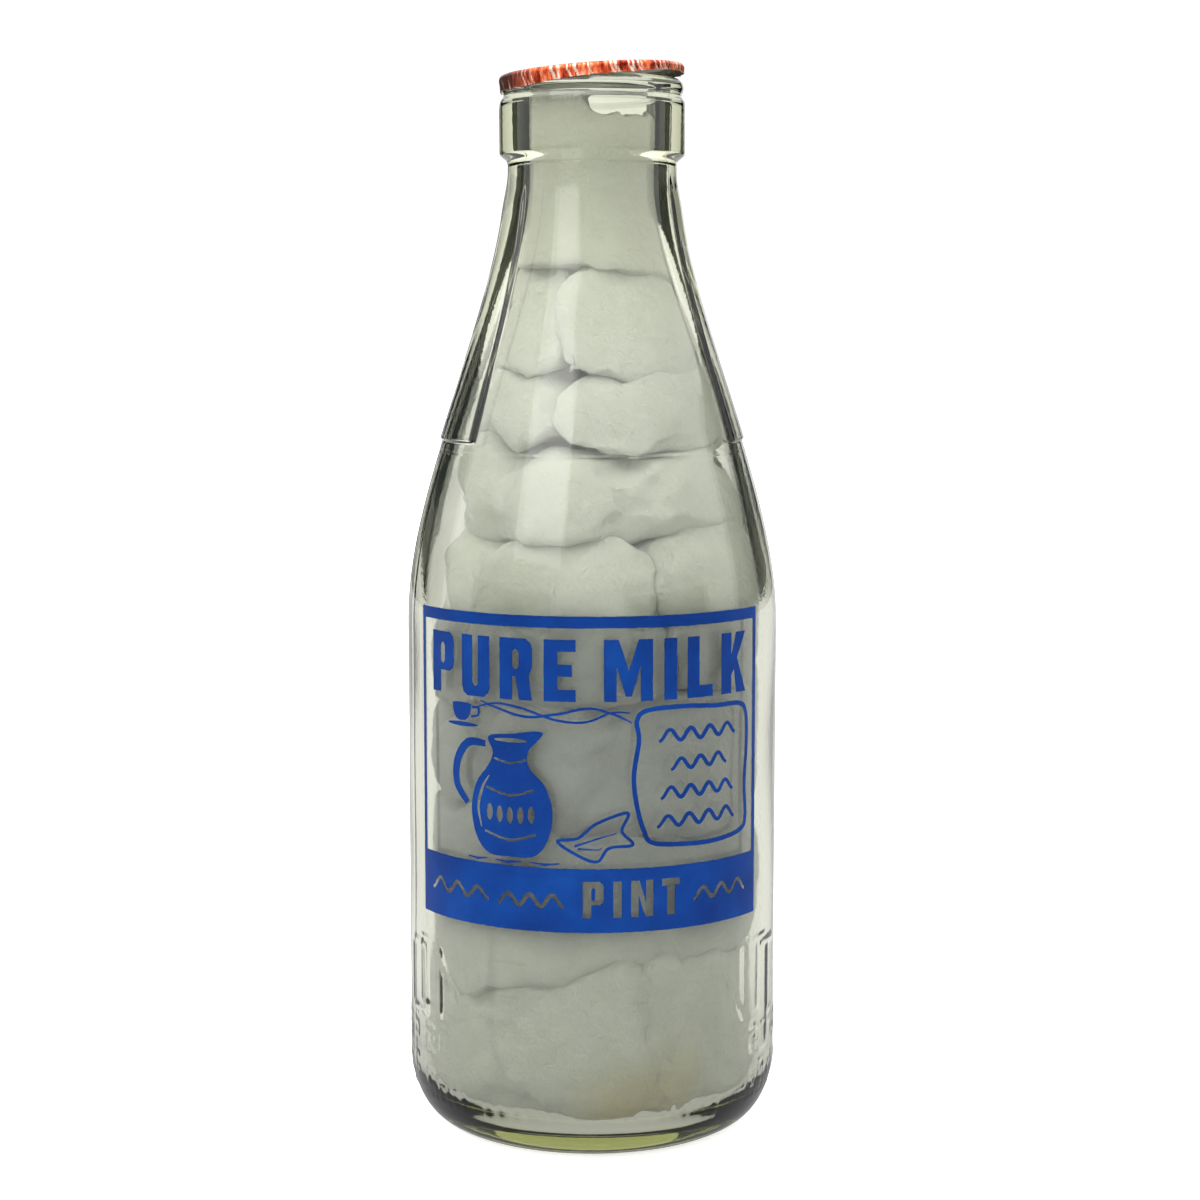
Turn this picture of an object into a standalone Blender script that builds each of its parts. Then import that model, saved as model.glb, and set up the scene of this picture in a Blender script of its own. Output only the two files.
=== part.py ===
"""Glass milk bottle, one imperial pint, with a fired-on label, cotton wadding inside and a loose foil cap.

The bottle stands on the XY plane with its axis on +Z and the label facing -Y. Lengths below are in millimetres and are turned into metres by MM.
"""

import math

import bmesh
import bpy
from mathutils import Vector

MM = 0.001

# Glass, outside
HEIGHT = 218.8
BODY_R = 38.8
BODY_TOP_Z = 106.6
FOOT_R = 27.5  # outer edge of the flat ring it stands on
FOOT_INNER_R = 21.4
HEEL_H = 16.3
HEEL_POWER = 2.3
PUSH_UP = 2.55  # how far the middle of the base rises above the standing ring
NECK_R = 17.5
NECK_Z = 200.2
SHOULDER_PULL = 30.1  # how far the body's straight side leads the shoulder curve
NECK_PULL = 26.5  # how far the neck's straight side leads it
COLLAR_R = 19.2
COLLAR_LOW_Z = 202.6
COLLAR_TOP_Z = 214.4
COLLAR_CHAMFER = 0.71
GROOVE_R = 18.5
BEAD_R = 18.9
BEAD_H = 3.9

# Glass, inside
BODY_WALL = 3.37
SHOULDER_WALL = 2.75
NECK_WALL = 4.49
BORE_R = 13.1
FLOOR_Z = 5.6
FLOOR_CORNER = 8.0

# Raised panels on the sides of the neck
PANEL_RAISE = 0.61
PANEL_LOW_Z = 144.8
PANEL_TOP_Z = 195.8
PANEL_WIDTH = 65.0  # degrees round the axis
PANEL_MIDDLES = (9.5, 189.5)  # degrees from +X, counter-clockwise seen from above

# Fired enamel label
LABEL_GAP = 0.15
LABEL_T = 0.2
LABEL_HALF_ANGLE = 60.5
LABEL_LOW_Z = 48.5
LABEL_TOP_Z = 111.8
LABEL_BORDER = 2.35
LABEL_SIDE_BORDER = 1.7  # degrees
LABEL_BAND = 12.9
HEADING_TOP_Z = 107.5
HEADING_LOW_Z = 94.5
HEADING_HALF_ANGLE = 54.0

# Foil cap
CAP_R = 19.3
CAP_T = 0.3
CAP_TILT = 4.0
CAP_SKIRT_HIGH = 1.7
CAP_SKIRT_LOW = 3.1
CAP_SHIFT = -0.2
CAP_EDGE = 0.92
CAP_CLEAR = 0.12

# Wadding: the planes between one tier of lumps and the next, as (height on the axis, rise per mm to +X, rise per mm to +Y), and for each tier the directions its lumps meet along, in degrees from the label towards +X
WAD_GAP = 0.6  # between two lumps, and between a lump and the glass
WAD_PLANES = (
    (5.0, 0.0, 0.0),
    (38.0, 0.10, 0.05),
    (66.0, -0.14, -0.05),
    (94.0, 0.08, 0.06),
    (124.0, 0.0, -0.05),
    (143.0, -0.08, 0.0),
    (158.5, 0.10, 0.04),
    (180.0, -0.06, 0.0),
    (211.8, -0.16, 0.0),
)
WAD_MEETINGS = (
    (20.0, 140.0, 260.0),
    (-30.0, 90.0, 210.0),
    (60.0, 180.0, 300.0),
    (-44.0, 26.0, 170.0),
    (-22.0, 95.0, 200.0),
    (-9.0, 171.0),
    (-14.0, 166.0),
    (),
)
WAD_ROUND = 3.0

SEGMENTS = 56
CORE_SEGMENTS = 32


def smooth(t):
    """Eases from 0 to 1 with no slope at either end."""
    return t * t * (3.0 - 2.0 * t)


def shoulder_point(t):
    """(radius, height) at t from 0 on the body to 1 on the neck: a Bezier curve that leaves both straight sides smoothly."""
    radii = (BODY_R, BODY_R, NECK_R, NECK_R)
    heights = (BODY_TOP_Z, BODY_TOP_Z + SHOULDER_PULL, NECK_Z - NECK_PULL, NECK_Z)
    weights = ((1 - t) ** 3, 3 * (1 - t) ** 2 * t, 3 * (1 - t) * t**2, t**3)
    return sum(w * r for w, r in zip(weights, radii)), sum(w * z for w, z in zip(weights, heights))


def shoulder_r(z):
    """Outer radius at height z, found by halving along the curve."""
    low, high = 0.0, 1.0
    for _ in range(40):
        middle = 0.5 * (low + high)
        if shoulder_point(middle)[1] < z:
            low = middle
        else:
            high = middle
    return shoulder_point(low)[0]


def wall(z):
    """Thickness of the glass, least over the shoulder and most in the neck."""
    if z < 153.0:
        return BODY_WALL + (SHOULDER_WALL - BODY_WALL) * smooth(min(max((z - 107.0) / 36.0, 0.0), 1.0))
    return SHOULDER_WALL + (NECK_WALL - SHOULDER_WALL) * smooth(min((z - 153.0) / 43.0, 1.0))


def heel(steps):
    """Points from the body down to the standing ring, round a soft heel."""
    points = []
    for i in range(1, steps + 1):
        a = 0.5 * math.pi * (1.0 - i / steps)
        r = FOOT_R + (BODY_R - FOOT_R) * math.sin(a) ** (2.0 / HEEL_POWER)
        z = HEEL_H * (1.0 - math.cos(a) ** (2.0 / HEEL_POWER))
        points.append((r, z))
    return points


def outside():
    """Outer profile from the top of the lip down to the middle of the base."""
    middle_z = HEIGHT - 0.5 * BEAD_H
    half = 0.5 * (BEAD_R - BORE_R)
    points = []
    for i in range(7):
        a = math.radians(90.0 - 22.0 * i)
        points.append((BEAD_R - half + half * abs(math.cos(a)) ** 0.6, middle_z + 0.5 * BEAD_H * math.sin(a)))
    points += [
        (GROOVE_R, COLLAR_TOP_Z + 0.45),
        (COLLAR_R - 0.25, COLLAR_TOP_Z),
        (COLLAR_R, COLLAR_TOP_Z - 0.5),
        (COLLAR_R, COLLAR_LOW_Z + COLLAR_CHAMFER),
        (COLLAR_R - COLLAR_CHAMFER, COLLAR_LOW_Z),
        (NECK_R + 0.25, COLLAR_LOW_Z - 0.5),
        (NECK_R, COLLAR_LOW_Z - 1.2),
    ]
    count = 14
    for i in range(count + 1):
        points.append(shoulder_point(1.0 - i / count))
    points += [(BODY_R, 78.0), (BODY_R, 47.0), (BODY_R, HEEL_H)]
    points += heel(7)
    points += [(FOOT_INNER_R, 0.0), (FOOT_INNER_R - 4.0, 0.5 * PUSH_UP), (8.0, PUSH_UP - 0.3), (0.0, PUSH_UP)]
    return points


def inside(extra=0.0):
    """Inner profile from the middle of the cavity floor up to the mouth, moved into the cavity by extra."""
    r_body = BODY_R - BODY_WALL - extra
    floor = FLOOR_Z + extra
    points = [(0.0, floor + 1.2), (10.0, floor + 0.9)]
    for i in range(0, 6):
        a = math.radians(18.0 * i)
        points.append((r_body - FLOOR_CORNER + FLOOR_CORNER * math.sin(a), floor + FLOOR_CORNER * (1.0 - math.cos(a))))
    points += [(r_body, 47.0), (r_body, 78.0)]
    count = 13
    for i in range(count + 1):
        r, z = shoulder_point(i / count)
        before, after = shoulder_point(max(i / count - 0.01, 0.0)), shoulder_point(min(i / count + 0.01, 1.0))
        run, rise = after[0] - before[0], after[1] - before[1]
        length = math.hypot(run, rise)
        thick = wall(z) + extra
        points.append((r - thick * rise / length, z + thick * run / length))
    return points


def metres(points):
    return [(r * MM, z * MM) for r, z in points]


def clear_scene():
    for obj in list(bpy.data.objects):
        bpy.data.objects.remove(obj, do_unlink=True)


def collection(name):
    made = bpy.data.collections.new(name)
    bpy.context.scene.collection.children.link(made)
    return made


def material(name, colour, roughness, metallic=0.0, transmission=0.0):
    made = bpy.data.materials.new(name)
    made.use_nodes = True
    shader = made.node_tree.nodes["Principled BSDF"]
    shader.inputs["Base Color"].default_value = (*colour, 1.0)
    shader.inputs["Roughness"].default_value = roughness
    shader.inputs["Metallic"].default_value = metallic
    shader.inputs["Transmission Weight"].default_value = transmission
    return made


def profile_object(name, points, into, mat=None):
    """An open edge profile in the XZ plane."""
    mesh = bpy.data.meshes.new(name)
    coords = [(r, 0.0, z) for r, z in metres(points)]
    mesh.from_pydata(coords, [(i, i + 1) for i in range(len(coords) - 1)], [])
    obj = bpy.data.objects.new(name, mesh)
    into.objects.link(obj)
    if mat:
        mesh.materials.append(mat)
    return obj


def screw(obj, segments, angle=360.0):
    mod = obj.modifiers.new("turn", "SCREW")
    mod.axis = "Z"
    mod.angle = math.radians(angle)
    mod.steps = mod.render_steps = segments
    mod.use_smooth_shade = True
    mod.use_merge_vertices = angle == 360.0
    mod.merge_threshold = 0.00001
    return mod


def boolean(obj, other, operation):
    mod = obj.modifiers.new(operation.lower(), "BOOLEAN")
    mod.operation = operation
    mod.solver = "EXACT"
    mod.object = other
    return mod


def as_cutter(obj):
    obj.hide_render = True
    obj.display_type = "WIRE"


def strip(name, into, points, middle, width, thickness, mat=None, steps=None):
    """A curved plate: a profile turned through part of a circle, then thickened outwards. middle and width are degrees round the axis, middle from +X."""
    obj = profile_object(name, points, into, mat)
    screw(obj, steps or max(2, round(width / 5.0)), width)
    solid = obj.modifiers.new("thickness", "SOLIDIFY")
    solid.thickness = thickness * MM
    solid.offset = 1.0
    solid.use_even_offset = True
    obj.rotation_euler.z = math.radians(middle - 0.5 * width)
    return obj


clear_scene()
parts = collection("glass_milk_bottle")
helpers = collection("cutters")

glass_mat = material("clear_glass", (0.86, 0.92, 0.84), 0.02, transmission=1.0)
enamel_mat = material("blue_enamel", (0.006, 0.05, 0.36), 0.22)
foil_mat = material("red_foil", (0.75, 0.10, 0.05), 0.28, metallic=1.0)
wad_mat = material("white_wadding", (0.80, 0.81, 0.74), 0.95)

# The bottle: one turned profile, up the inside, over the lip and down the outside
glass = profile_object("glass_bottle", inside() + [(BORE_R, HEIGHT - 3.5), (BORE_R + 0.5, HEIGHT - 0.7)] + outside(), parts, glass_mat)
screw(glass, SEGMENTS)

# Two raised panels, one on each side of the neck
for i, middle in enumerate(PANEL_MIDDLES):
    rows = 9
    points = []
    for j in range(rows + 1):
        z = PANEL_TOP_Z + (PANEL_LOW_Z - PANEL_TOP_Z) * j / rows
        points.append((shoulder_r(z) - 1.2, z))
    panel = strip(f"panel_{i + 1}", helpers, points, middle, PANEL_WIDTH, 1.2 + PANEL_RAISE, steps=12)
    as_cutter(panel)
    boolean(glass, panel, "UNION")

# The label: a frame with a solid band along its foot, and three fields of enamel inside it
label_r = BODY_R + LABEL_GAP
frame = strip(
    "label_frame",
    parts,
    [(label_r, LABEL_TOP_Z), (label_r, LABEL_LOW_Z)],
    -90.0,
    2.0 * LABEL_HALF_ANGLE,
    LABEL_T,
    enamel_mat,
    steps=24,
)
window = strip(
    "label_window",
    helpers,
    [(label_r - 0.6, LABEL_TOP_Z - LABEL_BORDER), (label_r - 0.6, LABEL_LOW_Z + LABEL_BAND)],
    -90.0,
    2.0 * (LABEL_HALF_ANGLE - LABEL_SIDE_BORDER),
    1.6,
    steps=24,
)
as_cutter(window)
boolean(frame, window, "DIFFERENCE")

strip("label_heading", parts, [(label_r, HEADING_TOP_Z), (label_r, HEADING_LOW_Z)], -90.0, 2.0 * HEADING_HALF_ANGLE, LABEL_T, enamel_mat, steps=22)
strip("label_picture", parts, [(label_r, 91.8), (label_r, 63.2)], -114.0, 36.0, LABEL_T, enamel_mat, steps=8)
strip("label_panel", parts, [(label_r, 92.3), (label_r, 63.8)], -56.0, 42.0, LABEL_T, enamel_mat, steps=9)

# Wadding: lumps that each fill a share of the cavity
core = profile_object("cavity_core", list(reversed(inside(WAD_GAP) + [(BORE_R - WAD_GAP, HEIGHT), (0.0, HEIGHT)])), helpers)
screw(core, CORE_SEGMENTS)
as_cutter(core)


def cut_away(bm, point, normal):
    """Removes the side of a closed block that normal points to, and closes it again."""
    cut = bmesh.ops.bisect_plane(bm, geom=bm.verts[:] + bm.edges[:] + bm.faces[:], plane_co=point, plane_no=normal, clear_outer=True)
    edges = [e for e in cut["geom_cut"] if isinstance(e, bmesh.types.BMEdge)]
    if edges:
        bmesh.ops.contextual_create(bm, geom=edges)


def tier_plane(plane, shift):
    """A point and the upward normal of a plane between two tiers, moved up by shift."""
    height, rise_x, rise_y = plane
    normal = Vector((-rise_x, -rise_y, 1.0)).normalized()
    return Vector((0.0, 0.0, height)) * MM + normal * shift * MM, normal


def lump(name, below, above, start, end):
    """A rounded block between two tier planes and two directions from the axis, cut to the cavity. start and end are None for a lump that spans it."""
    bpy.ops.mesh.primitive_cube_add(size=2.0 * (BODY_R + 5.0) * MM, location=(0.0, 0.0, 0.0))
    obj = bpy.context.active_object
    obj.name = obj.data.name = name
    for other in list(obj.users_collection):
        other.objects.unlink(obj)
    parts.objects.link(obj)
    middle = 0.5 * (below[0] + above[0]) * MM
    bm = bmesh.new()
    bm.from_mesh(obj.data)
    bmesh.ops.translate(bm, verts=bm.verts[:], vec=(0.0, 0.0, middle))
    point, normal = tier_plane(above, -0.5 * WAD_GAP)
    cut_away(bm, point, normal)
    point, normal = tier_plane(below, 0.5 * WAD_GAP)
    cut_away(bm, point, -normal)
    if start is not None:
        for degrees, turn in ((start, 1.0), (end, -1.0)):
            a = math.radians(degrees)
            # From the label (-Y) towards +X; the normal points out of the lump.
            normal = Vector((-math.cos(a), -math.sin(a), 0.0)) * turn
            cut_away(bm, normal * (-0.5 * WAD_GAP * MM), normal)
    bmesh.ops.recalc_face_normals(bm, faces=bm.faces[:])
    bm.to_mesh(obj.data)
    bm.free()
    obj.data.materials.append(wad_mat)
    bevel = obj.modifiers.new("round", "BEVEL")
    bevel.width = WAD_ROUND * MM
    bevel.segments = 2
    bevel.limit_method = "ANGLE"
    boolean(obj, core, "INTERSECT")
    return obj


number = 0
for i, meetings in enumerate(WAD_MEETINGS):
    spans = [(None, None)]
    if meetings:
        spans = [(a, b) for a, b in zip(meetings, meetings[1:] + (meetings[0] + 360.0,))]
    for start, end in spans:
        number += 1
        lump(f"wadding_{number:02d}", WAD_PLANES[i], WAD_PLANES[i + 1], start, end)

# The foil cap: a shallow turned cap, its skirt crimped further down on the low side, lying askew on the lip
cap_points = [
    (0.0, 0.0),
    (0.5 * CAP_R, 0.0),
    (CAP_R - CAP_EDGE, 0.0),
    (CAP_R - 0.3 * CAP_EDGE, -0.3 * CAP_EDGE),
    (CAP_R, -CAP_EDGE),
    (CAP_R, -CAP_SKIRT_HIGH),
]
cap = profile_object("foil_cap", cap_points, parts, foil_mat)
cap.data.materials.clear()
bm = bmesh.new()
bm.from_mesh(cap.data)
bmesh.ops.spin(bm, geom=bm.verts[:] + bm.edges[:], axis=(0, 0, 1), cent=(0, 0, 0), angle=2.0 * math.pi, steps=48, use_merge=True)
bmesh.ops.remove_doubles(bm, verts=bm.verts[:], dist=0.00001)
bmesh.ops.recalc_face_normals(bm, faces=bm.faces[:])
for v in bm.verts:
    if v.co.z < -0.99 * CAP_SKIRT_HIGH * MM:
        low = 0.5 - 0.5 * v.co.x / (CAP_R * MM)
        v.co.z = -(CAP_SKIRT_HIGH + (CAP_SKIRT_LOW - CAP_SKIRT_HIGH) * smooth(low)) * MM
bm.to_mesh(cap.data)
bm.free()
cap.data.materials.append(foil_mat)
shell = cap.modifiers.new("thickness", "SOLIDIFY")
shell.thickness = CAP_T * MM
shell.offset = 1.0
lift = bpy.data.objects.new("cap_lift_axis", None)
parts.objects.link(lift)
lift.location = (0.0, 0.0, HEIGHT * MM)
cap.parent = lift
tilt = math.radians(CAP_TILT)
cap.rotation_euler = (0.0, -tilt, 0.0)
cap.location = (CAP_SHIFT * MM, 0.0, (CAP_CLEAR + CAP_R * math.sin(tilt)) * MM)

for obj in parts.objects:
    if obj.type == "MESH":
        obj.data.shade_smooth()
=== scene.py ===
import math

import bmesh
import bpy
import numpy as np
from mathutils import Matrix, Vector, noise


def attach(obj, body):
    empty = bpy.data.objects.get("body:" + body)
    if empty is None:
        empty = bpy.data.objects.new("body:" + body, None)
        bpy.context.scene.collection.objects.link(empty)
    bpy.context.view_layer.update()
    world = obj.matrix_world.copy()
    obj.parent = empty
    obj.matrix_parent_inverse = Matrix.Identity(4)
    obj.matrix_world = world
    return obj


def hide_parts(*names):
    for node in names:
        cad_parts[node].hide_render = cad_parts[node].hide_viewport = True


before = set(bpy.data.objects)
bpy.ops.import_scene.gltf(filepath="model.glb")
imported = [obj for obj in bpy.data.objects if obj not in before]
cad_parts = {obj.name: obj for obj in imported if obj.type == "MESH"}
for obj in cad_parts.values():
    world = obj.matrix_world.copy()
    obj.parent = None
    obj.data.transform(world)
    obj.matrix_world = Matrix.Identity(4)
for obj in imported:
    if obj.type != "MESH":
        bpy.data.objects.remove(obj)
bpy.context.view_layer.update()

MM = 0.001
# Glow of the stage table under the bottle, dimmed as a painted shadow
TABLE_SHADOW_GLOW = 0.5
WAD_LIGHT = (0.92, 0.95, 0.89)
WAD_DARK = (0.86, 0.885, 0.815)
# Painted shade colour for the wadding behind the label, blue-grey as if lit by light bounced off the enamel
WAD_LABEL_SHADE = (0.56, 0.58, 0.63)
scene = bpy.context.scene

# --------------------------------------------------------------------------- camera and stage

TURN = math.radians(1.8)
PITCH = math.radians(6.54)
ROLL = 0.0002
cam_data = bpy.data.cameras.new("camera")
cam_data.sensor_width = 36.0
cam_data.lens = 75.0
cam_data.clip_start = 0.01
cam_data.clip_end = 50.0
cam = bpy.data.objects.new("camera", cam_data)
scene.collection.objects.link(cam)
right = Vector((1.0, 0.0, 0.0))
up = Vector((0.0, math.sin(PITCH), math.cos(PITCH)))
forward = Vector((0.0, math.cos(PITCH), -math.sin(PITCH)))
cam_right = right * math.cos(ROLL) + up * math.sin(ROLL)
cam_up = up * math.cos(ROLL) - right * math.sin(ROLL)
axes = Matrix((cam_right, cam_up, -forward)).transposed().to_4x4()
cam.matrix_world = Matrix.Rotation(TURN, 4, "Z") @ Matrix.Translation(Vector((1.62, -524.7, 170.8)) * MM) @ axes
scene.camera = cam


def nodes_of(name):
    mat = bpy.data.materials.new(name)
    mat.use_nodes = True
    nt = mat.node_tree
    return mat, nt, nt.nodes["Principled BSDF"]


def stage_object(name, verts, faces, mat):
    mesh = bpy.data.meshes.new(name)
    mesh.from_pydata([Vector(v) for v in verts], [], faces)
    obj = bpy.data.objects.new(name, mesh)
    scene.collection.objects.link(obj)
    mesh.materials.append(mat)
    return obj


def plain(name, colour, emission=0.0):
    mat, nt, shader = nodes_of(name)
    shader.inputs["Base Color"].default_value = (*colour, 1)
    shader.inputs["Roughness"].default_value = 0.9
    shader.inputs["Specular IOR Level"].default_value = 0.0
    shader.inputs["Emission Color"].default_value = (1, 1, 1, 1)
    shader.inputs["Emission Strength"].default_value = emission
    return mat


def ring_mesh(radii, heights, n=96):
    verts, faces = [], []
    for r, z in zip(radii, heights):
        for i in range(n):
            a = 2 * math.pi * i / n
            verts.append((r * math.cos(a), r * math.sin(a), z))
    for k in range(len(radii) - 1):
        for i in range(n):
            j = (i + 1) % n
            faces.append((k * n + i, k * n + j, (k + 1) * n + j, (k + 1) * n + i))
    return verts, faces


# The white floor that the camera sees
floor = stage_object("stage_floor", [(-9, -9, 0), (9, -9, 0), (9, 9, 0), (-9, 9, 0)], [(0, 1, 2, 3)], plain("stage_floor", (0.9, 0.9, 0.895), 0.62))
floor.visible_transmission = False
floor.visible_glossy = False

# What the glass sees in its place: a glowing table top with a painted shadow, grey under the bottle and white farther
# off
under_mat, nt, shader = nodes_of("stage_table")
co = nt.nodes.new("ShaderNodeTexCoord")
length = nt.nodes.new("ShaderNodeVectorMath")
length.operation = "LENGTH"
nt.links.new(co.outputs["Object"], length.inputs[0])
table_shadow_fade = nt.nodes.new("ShaderNodeMapRange")
table_shadow_fade.interpolation_type = "SMOOTHSTEP"
for key, value in (("From Min", 0.035), ("From Max", 0.16), ("To Min", TABLE_SHADOW_GLOW), ("To Max", 0.9)):
    table_shadow_fade.inputs[key].default_value = value
nt.links.new(length.outputs["Value"], table_shadow_fade.inputs["Value"])
glow = nt.nodes.new("ShaderNodeEmission")
nt.links.new(table_shadow_fade.outputs["Result"], glow.inputs["Strength"])
nt.links.new(glow.outputs["Emission"], nt.nodes["Material Output"].inputs["Surface"])
under = stage_object("stage_table", [(-9, -9, -0.0004), (9, -9, -0.0004), (9, 9, -0.0004), (-9, 9, -0.0004)], [(0, 1, 2, 3)], under_mat)
under.visible_camera = False
under.visible_diffuse = False
under.visible_shadow = False

# Dark cards round the bottle that only glass and gloss see: they draw the edges of the glass
card_mat = plain("stage_card", (0.012, 0.014, 0.013))
CARD_R = 0.9
for k, middle in enumerate((50.0, 130.0, 230.0, 310.0)):
    verts, faces = [], []
    steps = 10
    for i in range(steps + 1):
        a = math.radians(middle - 27.0 + 54.0 * i / steps)
        x, y = CARD_R * math.sin(a), CARD_R * math.cos(a)
        verts += [(x, y, 0.05), (x, y, 0.45 if y > 0 else 0.22)]
    for i in range(steps):
        faces.append((2 * i, 2 * i + 2, 2 * i + 3, 2 * i + 1))
    card = stage_object(f"stage_card_{k + 1}", verts, faces, card_mat)
    card.visible_camera = False
    card.visible_diffuse = False
    card.visible_shadow = False
    card.visible_volume_scatter = False

world = bpy.data.worlds.new("world")
scene.world = world
world.use_nodes = True
wnt = world.node_tree
bg = wnt.nodes["Background"]
bg.inputs["Color"].default_value = (1.0, 1.0, 1.0, 1)
wco = wnt.nodes.new("ShaderNodeTexCoord")
wsep = wnt.nodes.new("ShaderNodeSeparateXYZ")
wnt.links.new(wco.outputs["Generated"], wsep.inputs["Vector"])
wup = wnt.nodes.new("ShaderNodeMapRange")
wup.interpolation_type = "SMOOTHSTEP"
for key, value in (("From Min", 0.25), ("From Max", 0.95), ("To Min", 1.1), ("To Max", 2.3)):
    wup.inputs[key].default_value = value
wnt.links.new(wsep.outputs["Z"], wup.inputs["Value"])
wnt.links.new(wup.outputs["Result"], bg.inputs["Strength"])


def area(name, loc, target, size, power, colour=(1, 1, 1), size_y=None):
    data = bpy.data.lights.new(name, "AREA")
    data.energy = power
    data.color = colour
    data.size = size
    if size_y:
        data.shape = "RECTANGLE"
        data.size_y = size_y
    obj = bpy.data.objects.new(name, data)
    scene.collection.objects.link(obj)
    obj.location = loc
    obj.rotation_euler = (Vector(target) - Vector(loc)).to_track_quat("-Z", "Y").to_euler()
    return obj


area("top_softbox", (-0.15, -0.25, 1.2), (0, 0, 0.15), 1.0, 10.0)
area("key", (-0.8, -1.2, 0.9), (0, 0, 0.12), 0.9, 4.5)
scene.view_settings.view_transform = "Standard"

# --------------------------------------------------------------------------- helpers


def smooth(t):
    t = np.clip(t, 0.0, 1.0)
    return t * t * (3.0 - 2.0 * t)


def new_piece(name, verts, faces, mats, body, uv=False, smooth_shade=True):
    mesh = bpy.data.meshes.new(name)
    mesh.from_pydata([tuple(v) for v in verts], [], [tuple(int(i) for i in f) for f in faces])
    mesh.validate()
    obj = bpy.data.objects.new(name, mesh)
    scene.collection.objects.link(obj)
    for m in mats if isinstance(mats, (list, tuple)) else [mats]:
        mesh.materials.append(m)
    if smooth_shade:
        mesh.polygons.foreach_set("use_smooth", [True] * len(mesh.polygons))
    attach(obj, body)
    return obj


def node(nt, kind, **values):
    n = nt.nodes.new(kind)
    for key, value in values.items():
        if key in n.inputs:
            n.inputs[key].default_value = value
        else:
            setattr(n, key, value)
    return n


def ramp(nt, stops, source):
    n = nt.nodes.new("ShaderNodeValToRGB")
    while len(n.color_ramp.elements) < len(stops):
        n.color_ramp.elements.new(0.5)
    for e, (p, c) in zip(n.color_ramp.elements, stops):
        e.position = p
        e.color = (*c, 1.0) if len(c) == 3 else c
    nt.links.new(source, n.inputs["Fac"])
    return n


# --------------------------------------------------------------------------- the bottle's shape, in millimetres, as the solids have it

HEIGHT, BODY_R, BODY_TOP_Z = 218.8, 38.8, 106.6
FOOT_R, FOOT_INNER_R, HEEL_H, HEEL_POWER, PUSH_UP = 27.5, 21.4, 16.3, 2.3, 2.55
NECK_R, NECK_Z, SHOULDER_PULL, NECK_PULL = 17.5, 200.2, 30.1, 26.5
COLLAR_R, COLLAR_LOW_Z, COLLAR_TOP_Z = 19.2, 202.6, 214.4
GROOVE_R, BEAD_R, BEAD_H = 18.5, 18.9, 3.9
BODY_WALL, SHOULDER_WALL, NECK_WALL, BORE_R = 3.37, 2.75, 4.49, 13.1
FLOOR_Z, FLOOR_CORNER = 5.6, 8.0
PANEL_RAISE, PANEL_LOW_Z, PANEL_TOP_Z, PANEL_WIDTH = 0.61, 144.8, 195.8, 65.0
PANEL_MIDDLES = (9.5, 189.5)


def shoulder_point(t):
    radii = (BODY_R, BODY_R, NECK_R, NECK_R)
    heights = (BODY_TOP_Z, BODY_TOP_Z + SHOULDER_PULL, NECK_Z - NECK_PULL, NECK_Z)
    w = ((1 - t) ** 3, 3 * (1 - t) ** 2 * t, 3 * (1 - t) * t**2, t**3)
    return sum(a * r for a, r in zip(w, radii)), sum(a * z for a, z in zip(w, heights))


def wall(z):
    if z < 153.0:
        return BODY_WALL + (SHOULDER_WALL - BODY_WALL) * float(smooth((z - 107.0) / 36.0))
    return SHOULDER_WALL + (NECK_WALL - SHOULDER_WALL) * float(smooth((z - 153.0) / 43.0))


def resample(points, step_at):
    """Points along a polyline, spaced by step_at(z)."""
    out = [points[0]]
    left = 0.0
    for (r0, z0), (r1, z1) in zip(points[:-1], points[1:]):
        length = math.hypot(r1 - r0, z1 - z0)
        if length < 1e-9:
            continue
        pos = 0.0
        while True:
            step = step_at(z0 + (z1 - z0) * pos / length) - left
            if pos + step > length:
                left += length - pos
                break
            pos += step
            left = 0.0
            t = pos / length
            out.append((r0 + (r1 - r0) * t, z0 + (z1 - z0) * t))
    if math.hypot(out[-1][0] - points[-1][0], out[-1][1] - points[-1][1]) > 0.02:
        out.append(points[-1])
    return out


def rounded(points, radius, steps=5):
    """Rounds the corners of a polyline."""
    out = [points[0]]
    for i in range(1, len(points) - 1):
        p0, p1, p2 = Vector(points[i - 1]), Vector(points[i]), Vector(points[i + 1])
        a, b = (p0 - p1), (p2 - p1)
        rad = min(radius, 0.45 * a.length, 0.45 * b.length)
        s, e = p1 + a.normalized() * rad, p1 + b.normalized() * rad
        for k in range(steps + 1):
            t = k / steps
            out.append(tuple((1 - t) ** 2 * s + 2 * t * (1 - t) * p1 + t * t * e))
    out.append(points[-1])
    return out


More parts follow.
